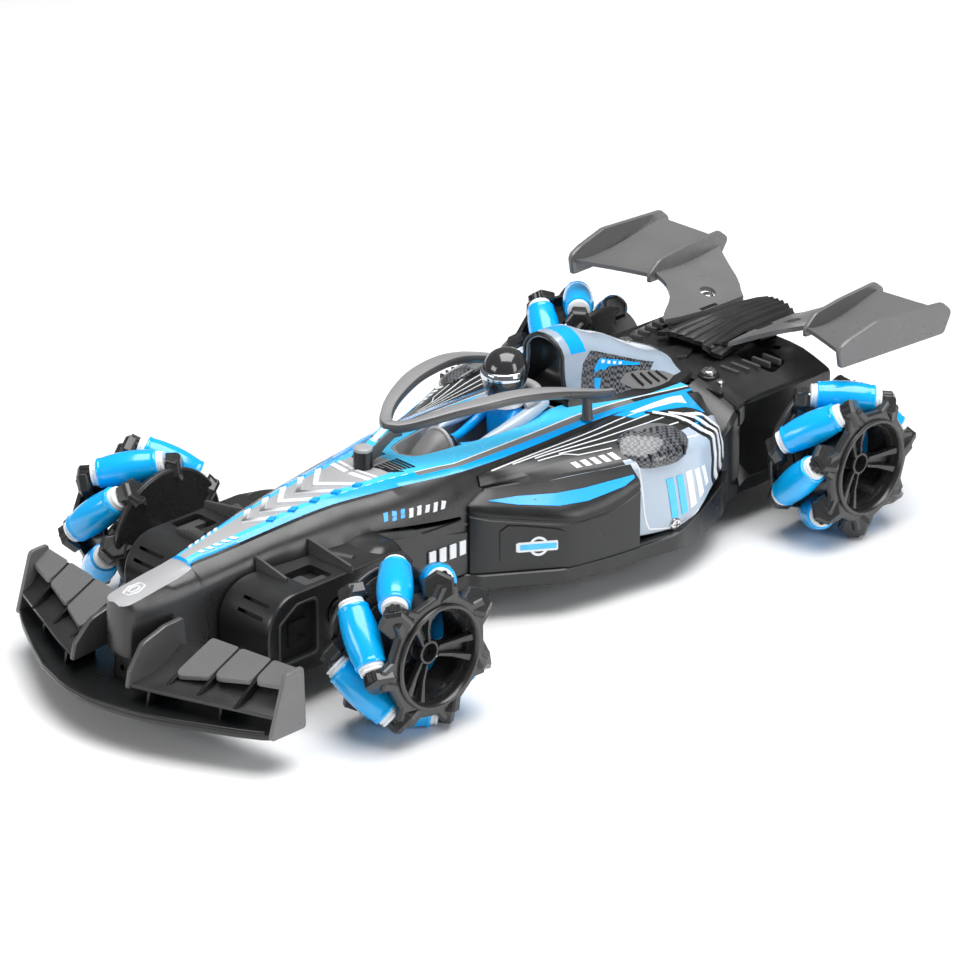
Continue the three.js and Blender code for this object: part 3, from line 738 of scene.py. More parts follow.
def body_shell():
    ys = steps(NOSE_TIP, -155, 0.6) + steps(-154, -129.5, 3) + [-129.2, -128.7] + steps(-128, -34, 1.2)
    ys += steps(-33.2, -30, 0.5) + steps(-29, 86, 1.6)
    half = body_skin.sheet(ys, shell_look)
    front = body_skin.section(ys[0])
    cap = [(x, ys[0], z) for x, z in front] + [(0, ys[0], front[-1][1])]
    half.add(cap, [tuple(range(len(cap)))], SHELL)
    half.both()
    cuts = [Shape().box(-36, 36, -106, -76, 0, 41)]
    for sign in (1, -1):
        slot = Shape().prism("x", rounded([(-70, 44.6), (-29, 39.4), (-29, 37.6), (-70, 42.8)], 0.8), 0, 1)
        slot.points = [(sign * (24 + x * 3.8 if y > -40 else 20.4 + (y + 70) * 0.13 + x * 3.2), y, z)
                       for x, y, z in slot.points]
        cuts.append(slot)
    walled("body_shell_skin", half, SHELL_LOOKS, ("body_shell",), 1.6, 40, cuts)


body_shell()


def chevrons():
    """Five raised white arrowheads on the nose, pointing forward, with a blue block at each arm's end."""
    white, blue = Shape(), Shape()
    for k in range(5):
        tip = -103.5 + 7.9 * k
        reach = 5.2 + 0.95 * k
        back = 6.2 + 0.8 * k
        width = 2.7
        for sign in (1, -1):
            def lay(x, y, up):
                return (sign * x, y, read(TOP_Z, y) - 0.03 * x + up)
            a = [lay(0, tip, 0.9), lay(0, tip + width, 0.9)]
            b = [lay(reach, tip + back, 0.8), lay(reach - 0.5, tip + back + width - 0.3, 0.8)]
            rings = [a + [lay(0, tip + width, -0.3), lay(0, tip, -0.3)],
                     b + [lay(reach - 0.5, tip + back + width - 0.3, -0.3), lay(reach, tip + back, -0.3)]]
            white.loft(rings)
            c = [lay(reach + 1.5, tip + back + 1.8, 0.5), lay(reach + 0.8, tip + back + width + 1.4, 0.5)]
            rings = [b + rings[1][2:], c + [lay(reach + 0.8, tip + back + width + 1.4, -0.5),
                                            lay(reach + 1.5, tip + back + 1.8, -0.5)]]
            blue.loft(rings)
    piece("nose_chevrons", white, "white", "stripe_white", edge=0.12)
    piece("nose_chevron_ends", blue, "cyan", "stripe_blue", edge=0.12)


chevrons()


# ---- mecanum wheels ---------------------------------------------------------------------------

WHEELS = {"front": (FRONT_AXLE_Y, 53.3, 1), "rear": (REAR_AXLE_Y, 33.3, -1)}
SPOKE_DEGREES = (-8, 112, 232)
SHAFT_END = {"front": 33.95, "rear": 37.95}
SLEEVE_HALF = [(0, 6), (2.5, 5.94), (5, 5.74), (7, 5.46), (8.5, 5.2), (9, 5.12), (9.4, 5.26), (9.9, 5.24),
               (10.25, 5.05), (10.4, 4.7), (10.4, 3.8)]
CAP_HALF = [(10.3, 3.8), (10.35, 4.3), (11.3, 4.3), (11.45, 3.8), (11.7, 3.8), (11.8, 4.15), (12.5, 4.1),
            (12.65, 3.6), (12.7, 1)]


def roller_matrix(centre_y, degrees, hand):
    """Places a shape drawn along a roller: X along its pin, Z away from the axle."""
    angle = math.radians(degrees)
    outward = Vector((0, math.cos(angle), math.sin(angle)))
    tangent = Vector((0, -math.sin(angle), math.cos(angle)))
    along = (Vector((1, 0, 0)) + tangent * hand).normalized()
    side = outward.cross(along)
    place = Vector((WHEEL_MID_X, centre_y, AXLE_Z)) + outward * ROLLER_AXIS_R
    matrix = Matrix((along, side, outward)).transposed().to_4x4()
    matrix.translation = place
    return matrix


def hexagon(t, width, height, up, lean=0.0):
    quarter = width / 4
    half = height / 2
    return [(t, -width / 2, up), (t - lean, -quarter, up - half), (t - lean, quarter, up - half),
            (t, width / 2, up), (t + lean, quarter, up + half), (t + lean, -quarter, up + half)]


def polar(centre_y, degrees, radius, aside, x):
    angle = math.radians(degrees)
    return (x, centre_y + radius * math.cos(angle) - aside * math.sin(angle),
            AXLE_Z + radius * math.sin(angle) + aside * math.cos(angle))


def gear(t0, t1, radius, teeth, depth):
    outline = []
    for k in range(4 * teeth):
        angle = 2 * math.pi * k / (4 * teeth)
        reach = radius if k % 4 in (1, 2) else radius - depth
        outline.append((reach * math.cos(angle), reach * math.sin(angle)))
    return Shape().prism("x", outline, t0, t1)


def plate_outline(degrees, hand, peak, valley):
    """A seven-lobed outline of (angle, radius), with flat runs between the lobes."""
    made = []
    for k in range(ROLLERS):
        middle = degrees + hand * 25 + k * TURN
        for shift, radius in ((-14, valley), (-8, peak), (8, peak), (14, valley)):
            made.append((middle + shift, radius))
    return made


def outer_plate(centre_y, phase, hand):
    ring = plate_outline(phase, hand, 24.3, 20.8)
    outer = [polar(centre_y, angle, radius, 0, 0)[1:] for angle, radius in ring]
    inner = [polar(centre_y, angle, 16.6, 0, 0)[1:] for angle, _ in ring]
    x0, x1 = 77.2, 79.9
    rings = [[(x0, *p) for p in outer], [(x1 - 0.8, *p) for p in outer],
             [(x1, *_towards(p, centre_y, 0.8)) for p in outer],
             [(x1, *p) for p in inner], [(x0, *p) for p in inner], [(x0, *p) for p in outer]]
    return Shape().loft(rings, caps=(False, False))


def _towards(point, centre_y, amount):
    away = Vector((point[0] - centre_y, point[1] - AXLE_Z))
    shorter = away * (1 - amount / away.length)
    return (centre_y + shorter.x, AXLE_Z + shorter.y)


LOBE_ROWS = {1: [(13.1, 9, 8), (14.2, 11.4, 9.8), (16.6, 11.8, 10.2), (17.7, 9.6, 8)],
             -1: [(13.1, 8, 6.6), (14.4, 10.4, 8.4), (17.4, 10.4, 8.4), (18.2, 8.4, 6.4)]}


def lobes(matrices, end):
    """The block at one end of each roller, with a flat six-sided face."""
    block = Shape().loft([hexagon(end * t, width, height, -2.6) for t, width, height in LOBE_ROWS[end]])
    made = Shape()
    for matrix in matrices:
        made.take(block, matrix)
    return made


def spokes(centre_y):
    """Three spokes that fall from the rim to the hub, each with two ridges and a slot between."""
    base, ridges = Shape(), Shape()
    for degrees in SPOKE_DEGREES:
        def ring(radius, half, top, deep):
            corners = [(-half, top), (half, top), (half * 0.7, top - deep), (-half * 0.7, top - deep)]
            return [polar(centre_y, degrees, radius, aside, x) for aside, x in corners]
        base.loft([ring(3.4, 2, 74.6, 3), ring(9, 2.6, 74.8, 3.4), ring(16.4, 4.6, 76, 5)])
        for sign in (1, -1):
            def ridge(radius, middle, half, top):
                corners = [(-half, top), (half, top), (half * 1.5, top - 1.8), (-half * 1.5, top - 1.8)]
                return [polar(centre_y, degrees, radius, sign * middle + aside, x) for aside, x in corners]
            ridges.loft([ridge(3.8, 1.4, 0.45, 75.8), ridge(9, 2.1, 0.6, 76.9), ridge(16.4, 3.8, 1.2, 79.6)])
    return base, ridges


def rim(centre_y):
    made = Shape()
    barrel = [(66.2, 16.9), (79.4, 16.9), (79.5, 17.9), (80.6, 17.9), (81.1, 17.5), (81.1, 16.6),
              (80.4, 16.1), (79.2, 15.6), (66.2, 15.2)]
    made.spin(barrel, (0, centre_y, AXLE_Z), (1, 0, 0), 56, closed=True)
    step = [(77.4, 15.8), (77.8, 14.7), (75.4, 14.4), (74.6, 15.6)]
    made.spin(step, (0, centre_y, AXLE_Z), (1, 0, 0), 56, closed=True)
    return made


def hub(centre_y):
    profile = [(71.4, 4.4), (74.8, 4.4), (75.6, 3.9), (75.6, 3.1), (72, 2.8), (71.4, 2.8)]
    return Shape().spin(profile, (0, centre_y, AXLE_Z), (1, 0, 0), 28, closed=True)


def inner_plate(centre_y):
    centre = (0, centre_y, AXLE_Z)
    disc = Shape().spin([(51.4, 3), (51.4, 22.4), (52, 23.2), (53.4, 23.2), (54, 22.6), (54, 3)], centre,
                        (1, 0, 0),
                        49)
    bands = Shape()
    for radius in (10, 19.4):
        band = [(53.9, radius), (54.8, radius), (54.8, radius + 1.4), (53.9, radius + 1.4)]
        bands.spin(band, centre, (1, 0, 0), 48, closed=True)
    sleeve = Shape().spin([(53, 5.5), (66, 5.3), (71.4, 4.9), (72.1, 4.3)], centre, (1, 0, 0), 28)
    return disc.take(bands).take(sleeve)


def brackets(matrices):
    """The arm that reaches from the inner plate to each roller's inner end."""
    arm = Shape().loft([
        [(-17, -4.6, -7), (-17, 4.6, -7), (-17, 3.4, 1.2), (-17, -3.4, 1.2)],
        [(-13.4, -3.6, -6), (-13.4, 3.6, -6), (-13.4, 2.4, 2.4), (-13.4, -2.4, 2.4)],
    ])
    made = Shape()
    for matrix in matrices:
        made.take(arm, matrix)
    return made


def roller_pieces(name, matrix):
    sleeve_row = [(-t, r) for t, r in reversed(SLEEVE_HALF[1:])] + SLEEVE_HALF
    sleeve = Shape().spin(sleeve_row, (0, 0, 0), (1, 0, 0), 28)
    piece(name + "_sleeve", Shape().take(sleeve, matrix), "roller", "roller_sleeve", (name,), name)
    caps = Shape()
    for sign in (1, -1):
        caps.spin([(sign * t, r) for t, r in CAP_HALF], (0, 0, 0), (1, 0, 0), 24)
    piece(name + "_caps", Shape().take(caps, matrix), "cap", "roller_cap", body=name)


def wheel(end, side):
    centre_y, phase, hand = WHEELS[end]
    name = f"{end}_{side}_wheel"
    mirror = side == "right"

    def part(suffix, shape, look="wheel", slot="wheel_plastic", replaces=(), **rest):
        shown = shape.turned() if mirror else shape
        piece(f"{name}_{suffix}", shown, look, slot, replaces, name, **rest)

    matrices = [roller_matrix(centre_y, phase + k * TURN, hand) for k in range(ROLLERS)]
    face = Shape().take(outer_plate(centre_y, phase, hand)).take(lobes(matrices, 1))
    part("face", face, replaces=(name + "_outer_plate",), edge=0.14, smooth=14)
    part("rim", rim(centre_y), edge=0.12)
    base, ridges = spokes(centre_y)
    part("spokes", base, edge=0.25)
    part("spoke_ridges", ridges, edge=0.2)
    part("hub", hub(centre_y), edge=0.15)
    seats, pins = Shape(), Shape()
    for matrix in matrices:
        seats.take(gear(12.9, 16.2, 3.4, 9, 0.45), matrix)
        pins.take(Shape().spin([(-13.6, 0.9), (13.6, 0.9)], (0, 0, 0), (1, 0, 0), 10), matrix)
    part("pin_seats", seats, "black", "black_plastic", edge=0.1)
    part("pins", pins, "steel", "screw_steel")
    back = inner_plate(centre_y).take(lobes(matrices, -1))
    part("back", back, replaces=(name + "_inner_plate",), edge=0.2)
    part("brackets", brackets(matrices), edge=0.2)
    shaft_end = SHAFT_END[end]
    shaft = Shape().spin([(shaft_end, 2.1), (shaft_end + 0.4, 2.4), (52, 2.4)], (0, centre_y, AXLE_Z),
                         (1, 0, 0), 20)
    part("shaft", shaft, "steel", "screw_steel")
    for k, matrix in enumerate(matrices):
        shown = Matrix.Diagonal((-1, 1, 1, 1)) @ matrix if mirror else matrix
        roller_pieces(f"{end}_{side}_roller_{k + 1}", shown)


for end in WHEELS:
    for side in SIDES:
        wheel(end, side)


# ---- side pods, sills and floor ---------------------------------------------------------------

POD_EDGE_X = [(-20, 26.9), (-10, 31.2), (0, 35.4), (10, 39), (24, 45), (38, 49.6), (50, 51.6), (60, 51.4),
              (70, 48.8),
              (78, 45), (86, 39.4), (90, 36)]
POD_EDGE_Z = [(-20, 45.4), (0, 46), (20, 46.8), (40, 47.2), (60, 47), (72, 46.2), (80, 44.6), (86, 42),
              (90, 39.5)]
POD_MID_Z = [(-20, 48.8), (0, 49.6), (20, 50.6), (40, 51.8), (60, 52.2), (72, 51.4), (80, 49.4), (90, 45)]
POD_INNER_Z = [(-20, 51.2), (0, 51.8), (30, 52.4), (50, 53.6), (70, 53.4), (82, 52), (90, 49.5)]
POD_LOW_Z = [(-20, 38), (30, 19.5), (49, 18.7), (58, 20.4), (63, 23.5), (68, 26.4), (80, 30), (90, 33)]
SEAM_Y = 31.2


def pod_section(y):
    edge_x, edge_z = read(POD_EDGE_X, y), read(POD_EDGE_Z, y)
    inner_x = min(25.4, edge_x - 1.5)
    inner_z, mid_z = read(POD_INNER_Z, y), read(POD_MID_Z, y)
    mid_x = inner_x + 0.55 * (edge_x - inner_x)
    low_z = read(POD_LOW_Z, y)
    line = [(inner_x, inner_z)]
    for share in (0.3, 0.6):
        line.append((inner_x + (mid_x - inner_x) * share, inner_z + (mid_z - inner_z) * share + 0.25))
    line.append((mid_x, mid_z))
    line.append((mid_x + 0.5 * (edge_x - mid_x), (mid_z + edge_z) / 2 + 0.55))
    line.append((edge_x - 1.4, edge_z + 0.75))
    line.append((edge_x, edge_z - 0.4))
    line.append((edge_x + 0.8, edge_z - 3))
    line.append((edge_x + 1.9, low_z * 0.45 + edge_z * 0.55))
    line.append((edge_x + 2.3, low_z + 5))
    line.append((edge_x + 2.3, low_z + 0.8))
    line.append((edge_x + 1.2, low_z))
    return line


pod_skin = Skin(pod_section)
POD_LOOKS = ["pale", "charcoal"]


def pod_look(y, j):
    """Grey on the inner top ahead of the paint's slanted border, pale paint behind and outside it."""
    border = 62 - 6.5 * j
    return 0 if (j >= 4 and y > border) or j >= 6 else 1


def side_pods():
    skin = pod_skin.sheet(steps(-20, 90, 1.6), pod_look)
    low = Shape().box(20, 60, -30, SEAM_Y, 0, 1)
    low.points = [(x, y, z if z < 0.5 else (44.2 if y < 0 else 45.2)) for x, y, z in low.points]
    for side, sign in SIDES.items():
        shown, cut = (skin, low) if sign > 0 else (skin.turned(), low.turned())
        walled(f"side_pod_{side}_shell", shown, POD_LOOKS, (f"side_pod_{side}",), 1.4, 38,
               [cut])


side_pods()


def pod_stripes():
    """Printed lines, bands and chevron stripes on the pods."""
    white_lines = Shape()
    for k in range(4):
        start = (-14 + 9 * k, 0.5 + 0.6 * k)
        white_lines.take(pod_skin.line([start, (22 + 4 * k, 0.7 + 0.75 * k),
                                        (56 + 2.6 * k, 0.9 + 0.85 * k)], 0.5))
    white_lines.take(pod_skin.line([(4, 2.3), (14, 2.5), (18, 3.2), (30, 3.5)], 0.4))
    white_lines.take(pod_skin.line([(33, 5.2), (33.5, 6.4), (35, 8.6), (37, 9.6), (48, 10), (60, 9.9)], 0.6))
    white_lines.take(pod_skin.line([(33, 5.2), (44, 4.6), (56, 4.6), (64, 4.9)], 0.6))
    pair("pod_pinstripes", white_lines, "white", "stripe_white")

    dark_lines = Shape()
    dark_lines.take(pod_skin.line([(-20, 2.9), (-4, 3.1), (15, 3.2), (31, 3.4)], 0.8, lift=0.02, sink=0.6))
    pair("pod_creases", dark_lines, "black", "black_plastic")

    blue_patch = Shape()
    blue_patch.take(pod_skin.band([(46, 0.05), (60, 0.05), (72, 0.05), (83, 0.05)],
                                  [(50, 1.5), (62, 1.9), (72, 2.5), (79, 3.6)]))
    blue_patch.take(pod_skin.band([(74, 3.2), (66, 4.2)], [(77, 3.6), (69, 4.4)]))
    pair("pod_blue_bands", blue_patch, "cyan", "stripe_blue")
    white_inset = pod_skin.band([(52, 0.5), (62, 0.5), (72, 0.6), (78, 0.8)],
                                [(54, 1.0), (62, 1.2), (71, 1.6), (75, 2.2)],
                                lift=0.24)
    pair("pod_blue_band_insets", white_inset, "white", "stripe_white")

    chevron_dark, chevron_light = Shape(), Shape()
    for k in range(6):
        shift = 2.5 * k
        path = [(56 + 0.9 * shift, 1.3 + 0.36 * k), (63 + shift, 3.6), (67 + shift, 5.2),
                (70.5 + shift, 6.6),
                (70 + shift, 8), (69 + shift, 9), (71.4 + shift, 10.4)]
        target = chevron_light if k % 2 else chevron_dark
        target.take(pod_skin.line(path, 1.75, lift=0.2 if k % 2 else 0.16))
    pair("pod_rear_stripes_dark", chevron_dark, "black", "painted_panel")
    pair("pod_rear_stripes_light", chevron_light, "white", "stripe_white")


pod_stripes()

# Sill stations from its front inner corner to the seam: x, y, top edge z, inner x, inner y, inner z.
SILL = [
    (24.4, -26.6, 42.4, 24.4, -19, 46.2), (27.6, -26.2, 42.2, 25.8, -19, 46.2),
        (30, -24.2, 41.6, 27.4, -17.6, 46.2),
    (32.4, -20.8, 40.6, 29.2, -14.6, 46.2), (38.8, -11.2, 38.8, 33.8, -7, 46.2),
        (44.8, -2.6, 37.4, 36.4, 1, 46),
    (47.2, 1.2, 37, 37.6, 4.4, 46), (48.6, 6, 36.8, 39, 9, 46), (50.8, 16, 37.4, 42.4, 17.6, 46.3),
    (52, 24, 39, 45.6, 25.4, 46.5), (52.6, 29, 41, 47.4, 29.6, 46.7), (52.8, 30.8, 42, 48, 30.8, 46.8),
]


def sill_ring(station):
    x, y, z, xi, yi, zi = station
    middle = lambda t, drop: (x + (xi - x) * t, y + (yi - y) * t, z + (zi - z) * t - drop)
    return [(xi, yi, zi), middle(0.7, 0.2), middle(0.25, 0), middle(0.06, 0.3), (x, y, z - 1.1),
            (x + 0.15, y, z - 2.2), (x - 0.25, y + 0.2, z - 2.6), (x - 0.25, y + 0.2, z - 3.3),
            (x + 0.2, y, z - 3.8),
            (x + 0.35, y - 0.1, 22), (x + 0.3, y, 17.3), (xi - 4, y + 2, 17.3), (xi - 5, y + 2, 30)]


sill = Shape().loft([sill_ring(station) for station in SILL])
pair("sill", sill, "black", "black_plastic", edge=0.0, smooth=30)


def sill_face(fraction, height, out):
    """A point on the sill's upright face. fraction runs from the front corner to the seam."""
    place = 3 + fraction * (len(SILL) - 4.001)
    i = int(place)
    a, b = Vector(SILL[i][:2]), Vector(SILL[i + 1][:2])
    spot = a.lerp(b, place - i)
    away = Vector(((b - a).y, -(b - a).x)).normalized()
    return (spot.x + 0.3 + away.x * out, spot.y + away.y * out, height)


def on_sill(rows, out, deep):
    """A slab on the sill's face over (fraction, low, high) rows."""
    rings = []
    for fraction, low, high in rows:
        rings.append([sill_face(fraction, low, out), sill_face(fraction, high, out),
                      sill_face(fraction, high, -deep), sill_face(fraction, low, -deep)])
    return rings


def sill_panel():
    """The raised panel on each sill's face."""
    panel = Shape().loft(on_sill([(0.03, 22, 33), (0.06, 20.2, 35), (0.12, 20, 34.4), (0.25, 20, 32.6),
                                  (0.33, 20.4, 31.6), (0.36, 22.6, 30)], 0.5, 1))
    pair("sill_panel", panel, "black", "black_plastic", edge=0.3)


sill_panel()

def sill_slope(fraction, share, lift):
    place = 2 + fraction * (len(SILL) - 3.001)
    i = int(place)
    t = place - i
    row_a, row_b = SILL[i], SILL[i + 1]
    x, y, z, xi, yi, zi = [p + (q - p) * t for p, q in zip(row_a, row_b)]
    spot = Vector((x + (xi - x) * share, y + (yi - y) * share, z + (zi - z) * share))
    return spot + Vector((0.5, -0.3, 0.8)).normalized() * lift


def sill_stripe():
    """The cyan wedge on each sill's sloping top."""
    wedge = []
    for fraction, low, high in ((0.06, 0.42, 0.44), (0.2, 0.3, 0.62), (0.4, 0.26, 0.62), (0.6, 0.24, 0.6),
                                (0.8, 0.24, 0.56),
                                (0.93, 0.3, 0.46)):
        wedge.append([sill_slope(fraction, low, 0.2), sill_slope(fraction, high, 0.2),
                      sill_slope(fraction, high, -0.6),
                      sill_slope(fraction, low, -0.6)])
    pair("sill_wedge_stripe", Shape().loft(wedge), "cyan", "stripe_blue")


sill_stripe()

FLOOR = [(5.5, -141.5), (9, -130), (24, -124.4), (34, -124), (35.6, -121), (35.6, -70), (30, -66),
         (26.6, -60),
         (27.2, -27.4), (31.4, -25), (47.8, -1), (51.8, 16), (53.6, 30), (57, 47), (54.6, 60), (49, 77.5),
         (42, 88),
         (40, 96), (40, 144), (37, 146)]


def floor_pan():
    outline = rounded(FLOOR, [0, 2, 3, 2, 2, 2, 3, 6, 3, 4, 10, 14, 16, 16, 14, 10, 6, 4, 2, 0], 3)
    whole = outline + [(-x, y) for x, y in reversed(outline)]
    inset = [(x - math.copysign(0.7, x), y) for x, y in whole]
    rings = []
    rise = lambda y: 8 * max(0.0, min(1.0, (y - 40) / 40)) * (1 if y < 92 else 0)
    for pair_list, z, share in ((inset, 12, 0), (whole, 12.6, 0), (whole, 17.2, 1), (inset, 17.6, 1)):
        rings.append([(x, y, z + share * rise(y)) for x, y in pair_list])
    shape = Shape().loft(rings)
    pan = [(x * 0.93, y * 0.985) for x, y in whole]
    hollow = Shape().prism("z", pan, 14, 30)
    door = Shape().box(-19, 19, 32, 88, 10, 20)
    slot = Shape().box(-6, 6, 100, 106, 10, 20)
    piece("floor_pan", shape, "black", "black_plastic", ("chassis_tub",),
                      cuts=(hollow, door, slot), edge=0.25)


floor_pan()
def rear_box():
    """The walls between the rear wheels."""
    rear_walls = Shape()
    for sign in (1, -1):
        wall = [(34, 94), (38, 96), (39.6, 104), (39.6, 140), (37, 146), (35, 146), (37.6, 139),
                (37.6, 104), (36, 98),
                (33, 96)]
        rear_walls.prism("z", [(sign * x, y) for x, y in wall], 16.8, 46)
    rear_walls.box(-34.9, 34.9, 144.2, 145.9, 16.8, 46)
    rear_walls.box(-32.9, 32.9, 93.4, 95.2, 16.8, 50)
    holes = [Shape().spin([(sign * 30, 7), (sign * 44, 7)], (0, REAR_AXLE_Y, AXLE_Z), (1, 0, 0), 32)
             for sign in (1, -1)]
    piece("rear_box", rear_walls, "black", "black_plastic", cuts=holes, edge=0.3)


rear_box()


def pod_screws():
    """A cross-head screw low on each pod."""
    y, z = 47.7, 20.8
    head = Shape().spin([(-1.5, 2.3), (0.5, 2.3), (0.9, 1.9), (1, 1.2)], (53.8, y, z), (1, -0.12, 0), 24)
    upright = Shape().box(54.2, 56, y - 0.25, y + 0.25, z - 1.4, z + 1.4)
    level = Shape().box(54.2, 56, y - 1.4, y + 1.4, z - 0.25, z + 0.25)
    pair("pod_screw", head, "steel", "screw_steel", cuts=[upright, level], edge=0.1)


pod_screws()


def scoop():
    """Carbon intake on the pod's shoulder: a hooded shell, open to the front."""
    rings = []
    rows = [(31, 0.7, 0.1), (34, 5.6, 1.6), (39, 7.6, 3), (46, 8, 3.4), (53, 6.6, 2.4), (58, 3.4, 0.8),
            (59.6, 0.6, 0)]
    for y, half, rise in smooth_rows(rows, 2):
        centre = pod_skin.point(y, 4.3)
        centre.x -= 0.4
        ring = [(centre.x + half * c, y, centre.z - 0.42 * half * c + rise * s ** 0.8)
                for c, s in sweep(0, 180, 12)]
        ring += [(centre.x - half * 0.9, y, centre.z - 2.4 + 0.38 * half),
                 (centre.x + half * 0.9, y, centre.z - 2.4 - 0.38 * half)]
        rings.append(ring)
    # A grey patch on the hood's upper inner side, halfway along, is a painted reflection on the glossy
    # carbon.
    look = lambda i, j: 1 if 8 <= j <= 11 and 4 < i < 13 else 0
    body = Shape().loft(rings, look=look)
    pair("intake_scoop", body, ("carbon", "grey"), "carbon_trim", "intake_scoop_{}", smooth=50)
    slats = Shape()
    for k in range(5):
        y = 37 + 3.6 * k
        spot = pod_skin.point(y, 4.9)
        slats.box(spot.x + 1.2, spot.x + 4.4, y, y + 0.8, spot.z - 2.4, spot.z + 1.1)
    pair("intake_scoop_slats", slats, "black", "black_plastic", edge=0.15)


scoop()


# ---- halo, cockpit and driver -----------------------------------------------------------------

HALO_LINE = [(0, -37, 66.9, 2.3), (3.2, -35.4, 66.9, 2.2), (6.6, -31.6, 67.8, 2.2), (9.9, -26.4, 69.2, 2.5),
             (13.4, -18.6, 70.6, 2.9), (17, -9, 71.4, 3.3), (19.4, 1, 71.5, 3.5), (21.6, 11, 70.6, 3.4),
             (22.8, 20, 68.8, 3.1), (23, 29, 66.2, 2.7), (22.4, 38, 63.2, 2.1), (21.4, 46, 60.6, 1.3),
             (20.6, 51, 59.2, 0.5)]


def halo_ring():
    half = smooth_path([point[:3] for point in HALO_LINE], 5)
    widths = smooth_rows([(i, p[3]) for i, p in enumerate(HALO_LINE)], 0.2)
    rings = []
    for i, centre in enumerate(half):
        before, after = Vector(half[max(i - 1, 0)]), Vector(half[min(i + 1, len(half) - 1)])
        along = (after - before).normalized() if i else Vector((1, 0, 0))
        across = Vector((along.y, -along.x, 0)).normalized()
        w = widths[i][1]
        section = [(-w, 0.5), (-w * 0.86, 1.3), (-w * 0.66, 1.6), (w * 0.66, 1.6), (w * 0.86, 1.3), (w, 0.5),
                   (w, -0.9), (w * 0.7, -1.7), (-w * 0.7, -1.7), (-w, -0.9)]
        rings.append([Vector(centre) + across * a + Vector((0, 0, b)) for a, b in section])
    # The three top faces of the ring are grey and the sides and underside dark charcoal: light and shade
    # painted by the way the faces turn.
    return Shape().loft(rings, caps=(False, True), look=lambda i, j: 0 if j in (1, 2, 3) else 1).both()


def halo_bar():
    """The ring and its front strut, with the strut's printed stripes."""
    piece("halo_ring", halo_ring(), ("halo", "wing"), "halo_grey", ("halo",), smooth=50)
    strut = Shape()
    strut_rows = [(-33.6, 66.2, 62.9, 3.2), (-37, 66.8, 63.2, 3), (-40, 65.7, 61.2, 2.5),
                  (-44, 63.7, 58.2, 2.3),
                  (-48.6, 61.6, 56.4, 2.3)]
    strut.loft([[(-w, y, low), (-w, y, top), (w, y, top), (w, y, low)] for y, top, low, w in strut_rows])
    piece("halo_strut", strut, "wing", "halo_grey", edge=0.5)
    stripe = Shape()
    for y0, y1 in ((-38.2, -42.6), (-43.6, -47)):
        height = lambda y: 66.9 + 0.52 * (y + 38)
        stripe.loft([[(-1.9, y, height(y) + 0.1), (1.9, y, height(y) + 0.1), (1.9, y, height(y) - 1.6),
                      (-1.9, y, height(y) - 1.6)] for y in (y0, y1)])
    piece("halo_strut_stripe", stripe, "light_cyan", "stripe_blue", edge=0.1)
    stripe = Shape().loft([[(-1.3, y, 67.05 + 0.52 * (y + 38)), (1.3, y, 67.05 + 0.52 * (y + 38)),
                            (1.3, y, 65.6 + 0.52 * (y + 38)),
                            (-1.3, y, 65.6 + 0.52 * (y + 38))] for y in (-39, -44.6)])
    piece("halo_strut_white", stripe, "white", "stripe_white", edge=0.1)


def halo_posts():
    """The front post with its cap, and two rear posts."""
    post = Shape().spin([(54.4, 3.6), (55.6, 3.3), (61.2, 3.3), (61.8, 3.1), (61.8, 1)], (0, -49, 0),
                        (0, 0, 1), 28)
    piece("halo_post", post, "black", "halo_grey", smooth=40)
    # The cap is painted light grey as a highlight on the top of the post.
    cap = Shape().spin([(61.6, 3.25), (62.5, 3.25), (62.9, 2.7), (63, 1)], (0, -49, 0), (0, 0, 1), 28)
    piece("halo_post_cap", cap, "top_grey", "halo_grey", smooth=30)
    rear_posts = Shape()
    for sign in (1, -1):
        rear_posts.spin([(54.6, 2.3), (55.4, 1.9), (63.6, 1.6)], (sign * 22.4, 36, 0), (0, 0, 1), 20)
    piece("halo_rear_posts", rear_posts, "wing", "halo_grey")


def halo_foot():
    """The printed grid at the strut's foot."""
    patch = Shape()
    for k in range(4):
        patch.take(body_skin.line([(-46.8 + 0.9 * k, 0.2 + 0.2 * k), (-44 + 0.9 * k, 1.2 + 0.1 * k)], 0.5))
    for k in range(7):
        y = -46 + 1.5 * k
        patch.take(body_skin.band([(y, 0.25), (y + 1, 0.25)], [(y, 0.95 + 0.06 * k), (y + 1, 1 + 0.06 * k)],
                                  pieces=1))
    piece("halo_foot_grid", patch.both(), "black", "black_plastic")


def halo():
    """The halo bar and what holds it."""
    halo_bar()
    halo_posts()
    halo_foot()


halo()

COCKPIT = [(0, -33.2), (2.4, -32.6), (5.7, -30.7), (8, -24), (9.5, -16), (11.4, -5.5), (12.6, 7.5),
           (11.8, 16),
           (10, 24), (9.3, 34)]


def tub():
    """The cockpit's walls, which slope in from the shell's opening to a flat bottom."""
    smooth = smooth_rows([(y, x) for x, y in COCKPIT], 2)
    whole = [(x - 0.15, y) for y, x in smooth] + [(0.15 - x, y) for y, x in reversed(smooth)]
    rings = []
    for z, shrink, back in ((55.2, 1, 0), (52, 0.99, 0), (45, 0.9, 0.5), (38.5, 0.82, 1), (36, 0.82, 1)):
        rings.append([(x * shrink, y * (1 - 0.03 * back), z) for x, y in whole])
    outside = list(reversed(rings))
    shape = Shape().loft(outside, caps=(True, False))
    inner = []
    for z, shrink in ((38, 0.7), (45, 0.8), (52, 0.9), (55.2, 0.93)):
        inner.append([(x * shrink, y * 0.965, z) for x, y in whole])
    return shape.loft(inner, caps=(True, False)).loft([rings[0], inner[-1]], caps=(False, False))


def cockpit_walls():
    """The well that the driver sits in."""
    piece("cockpit_walls", tub(), "halo", "cockpit_grey", ("cockpit_tub",), smooth=30)


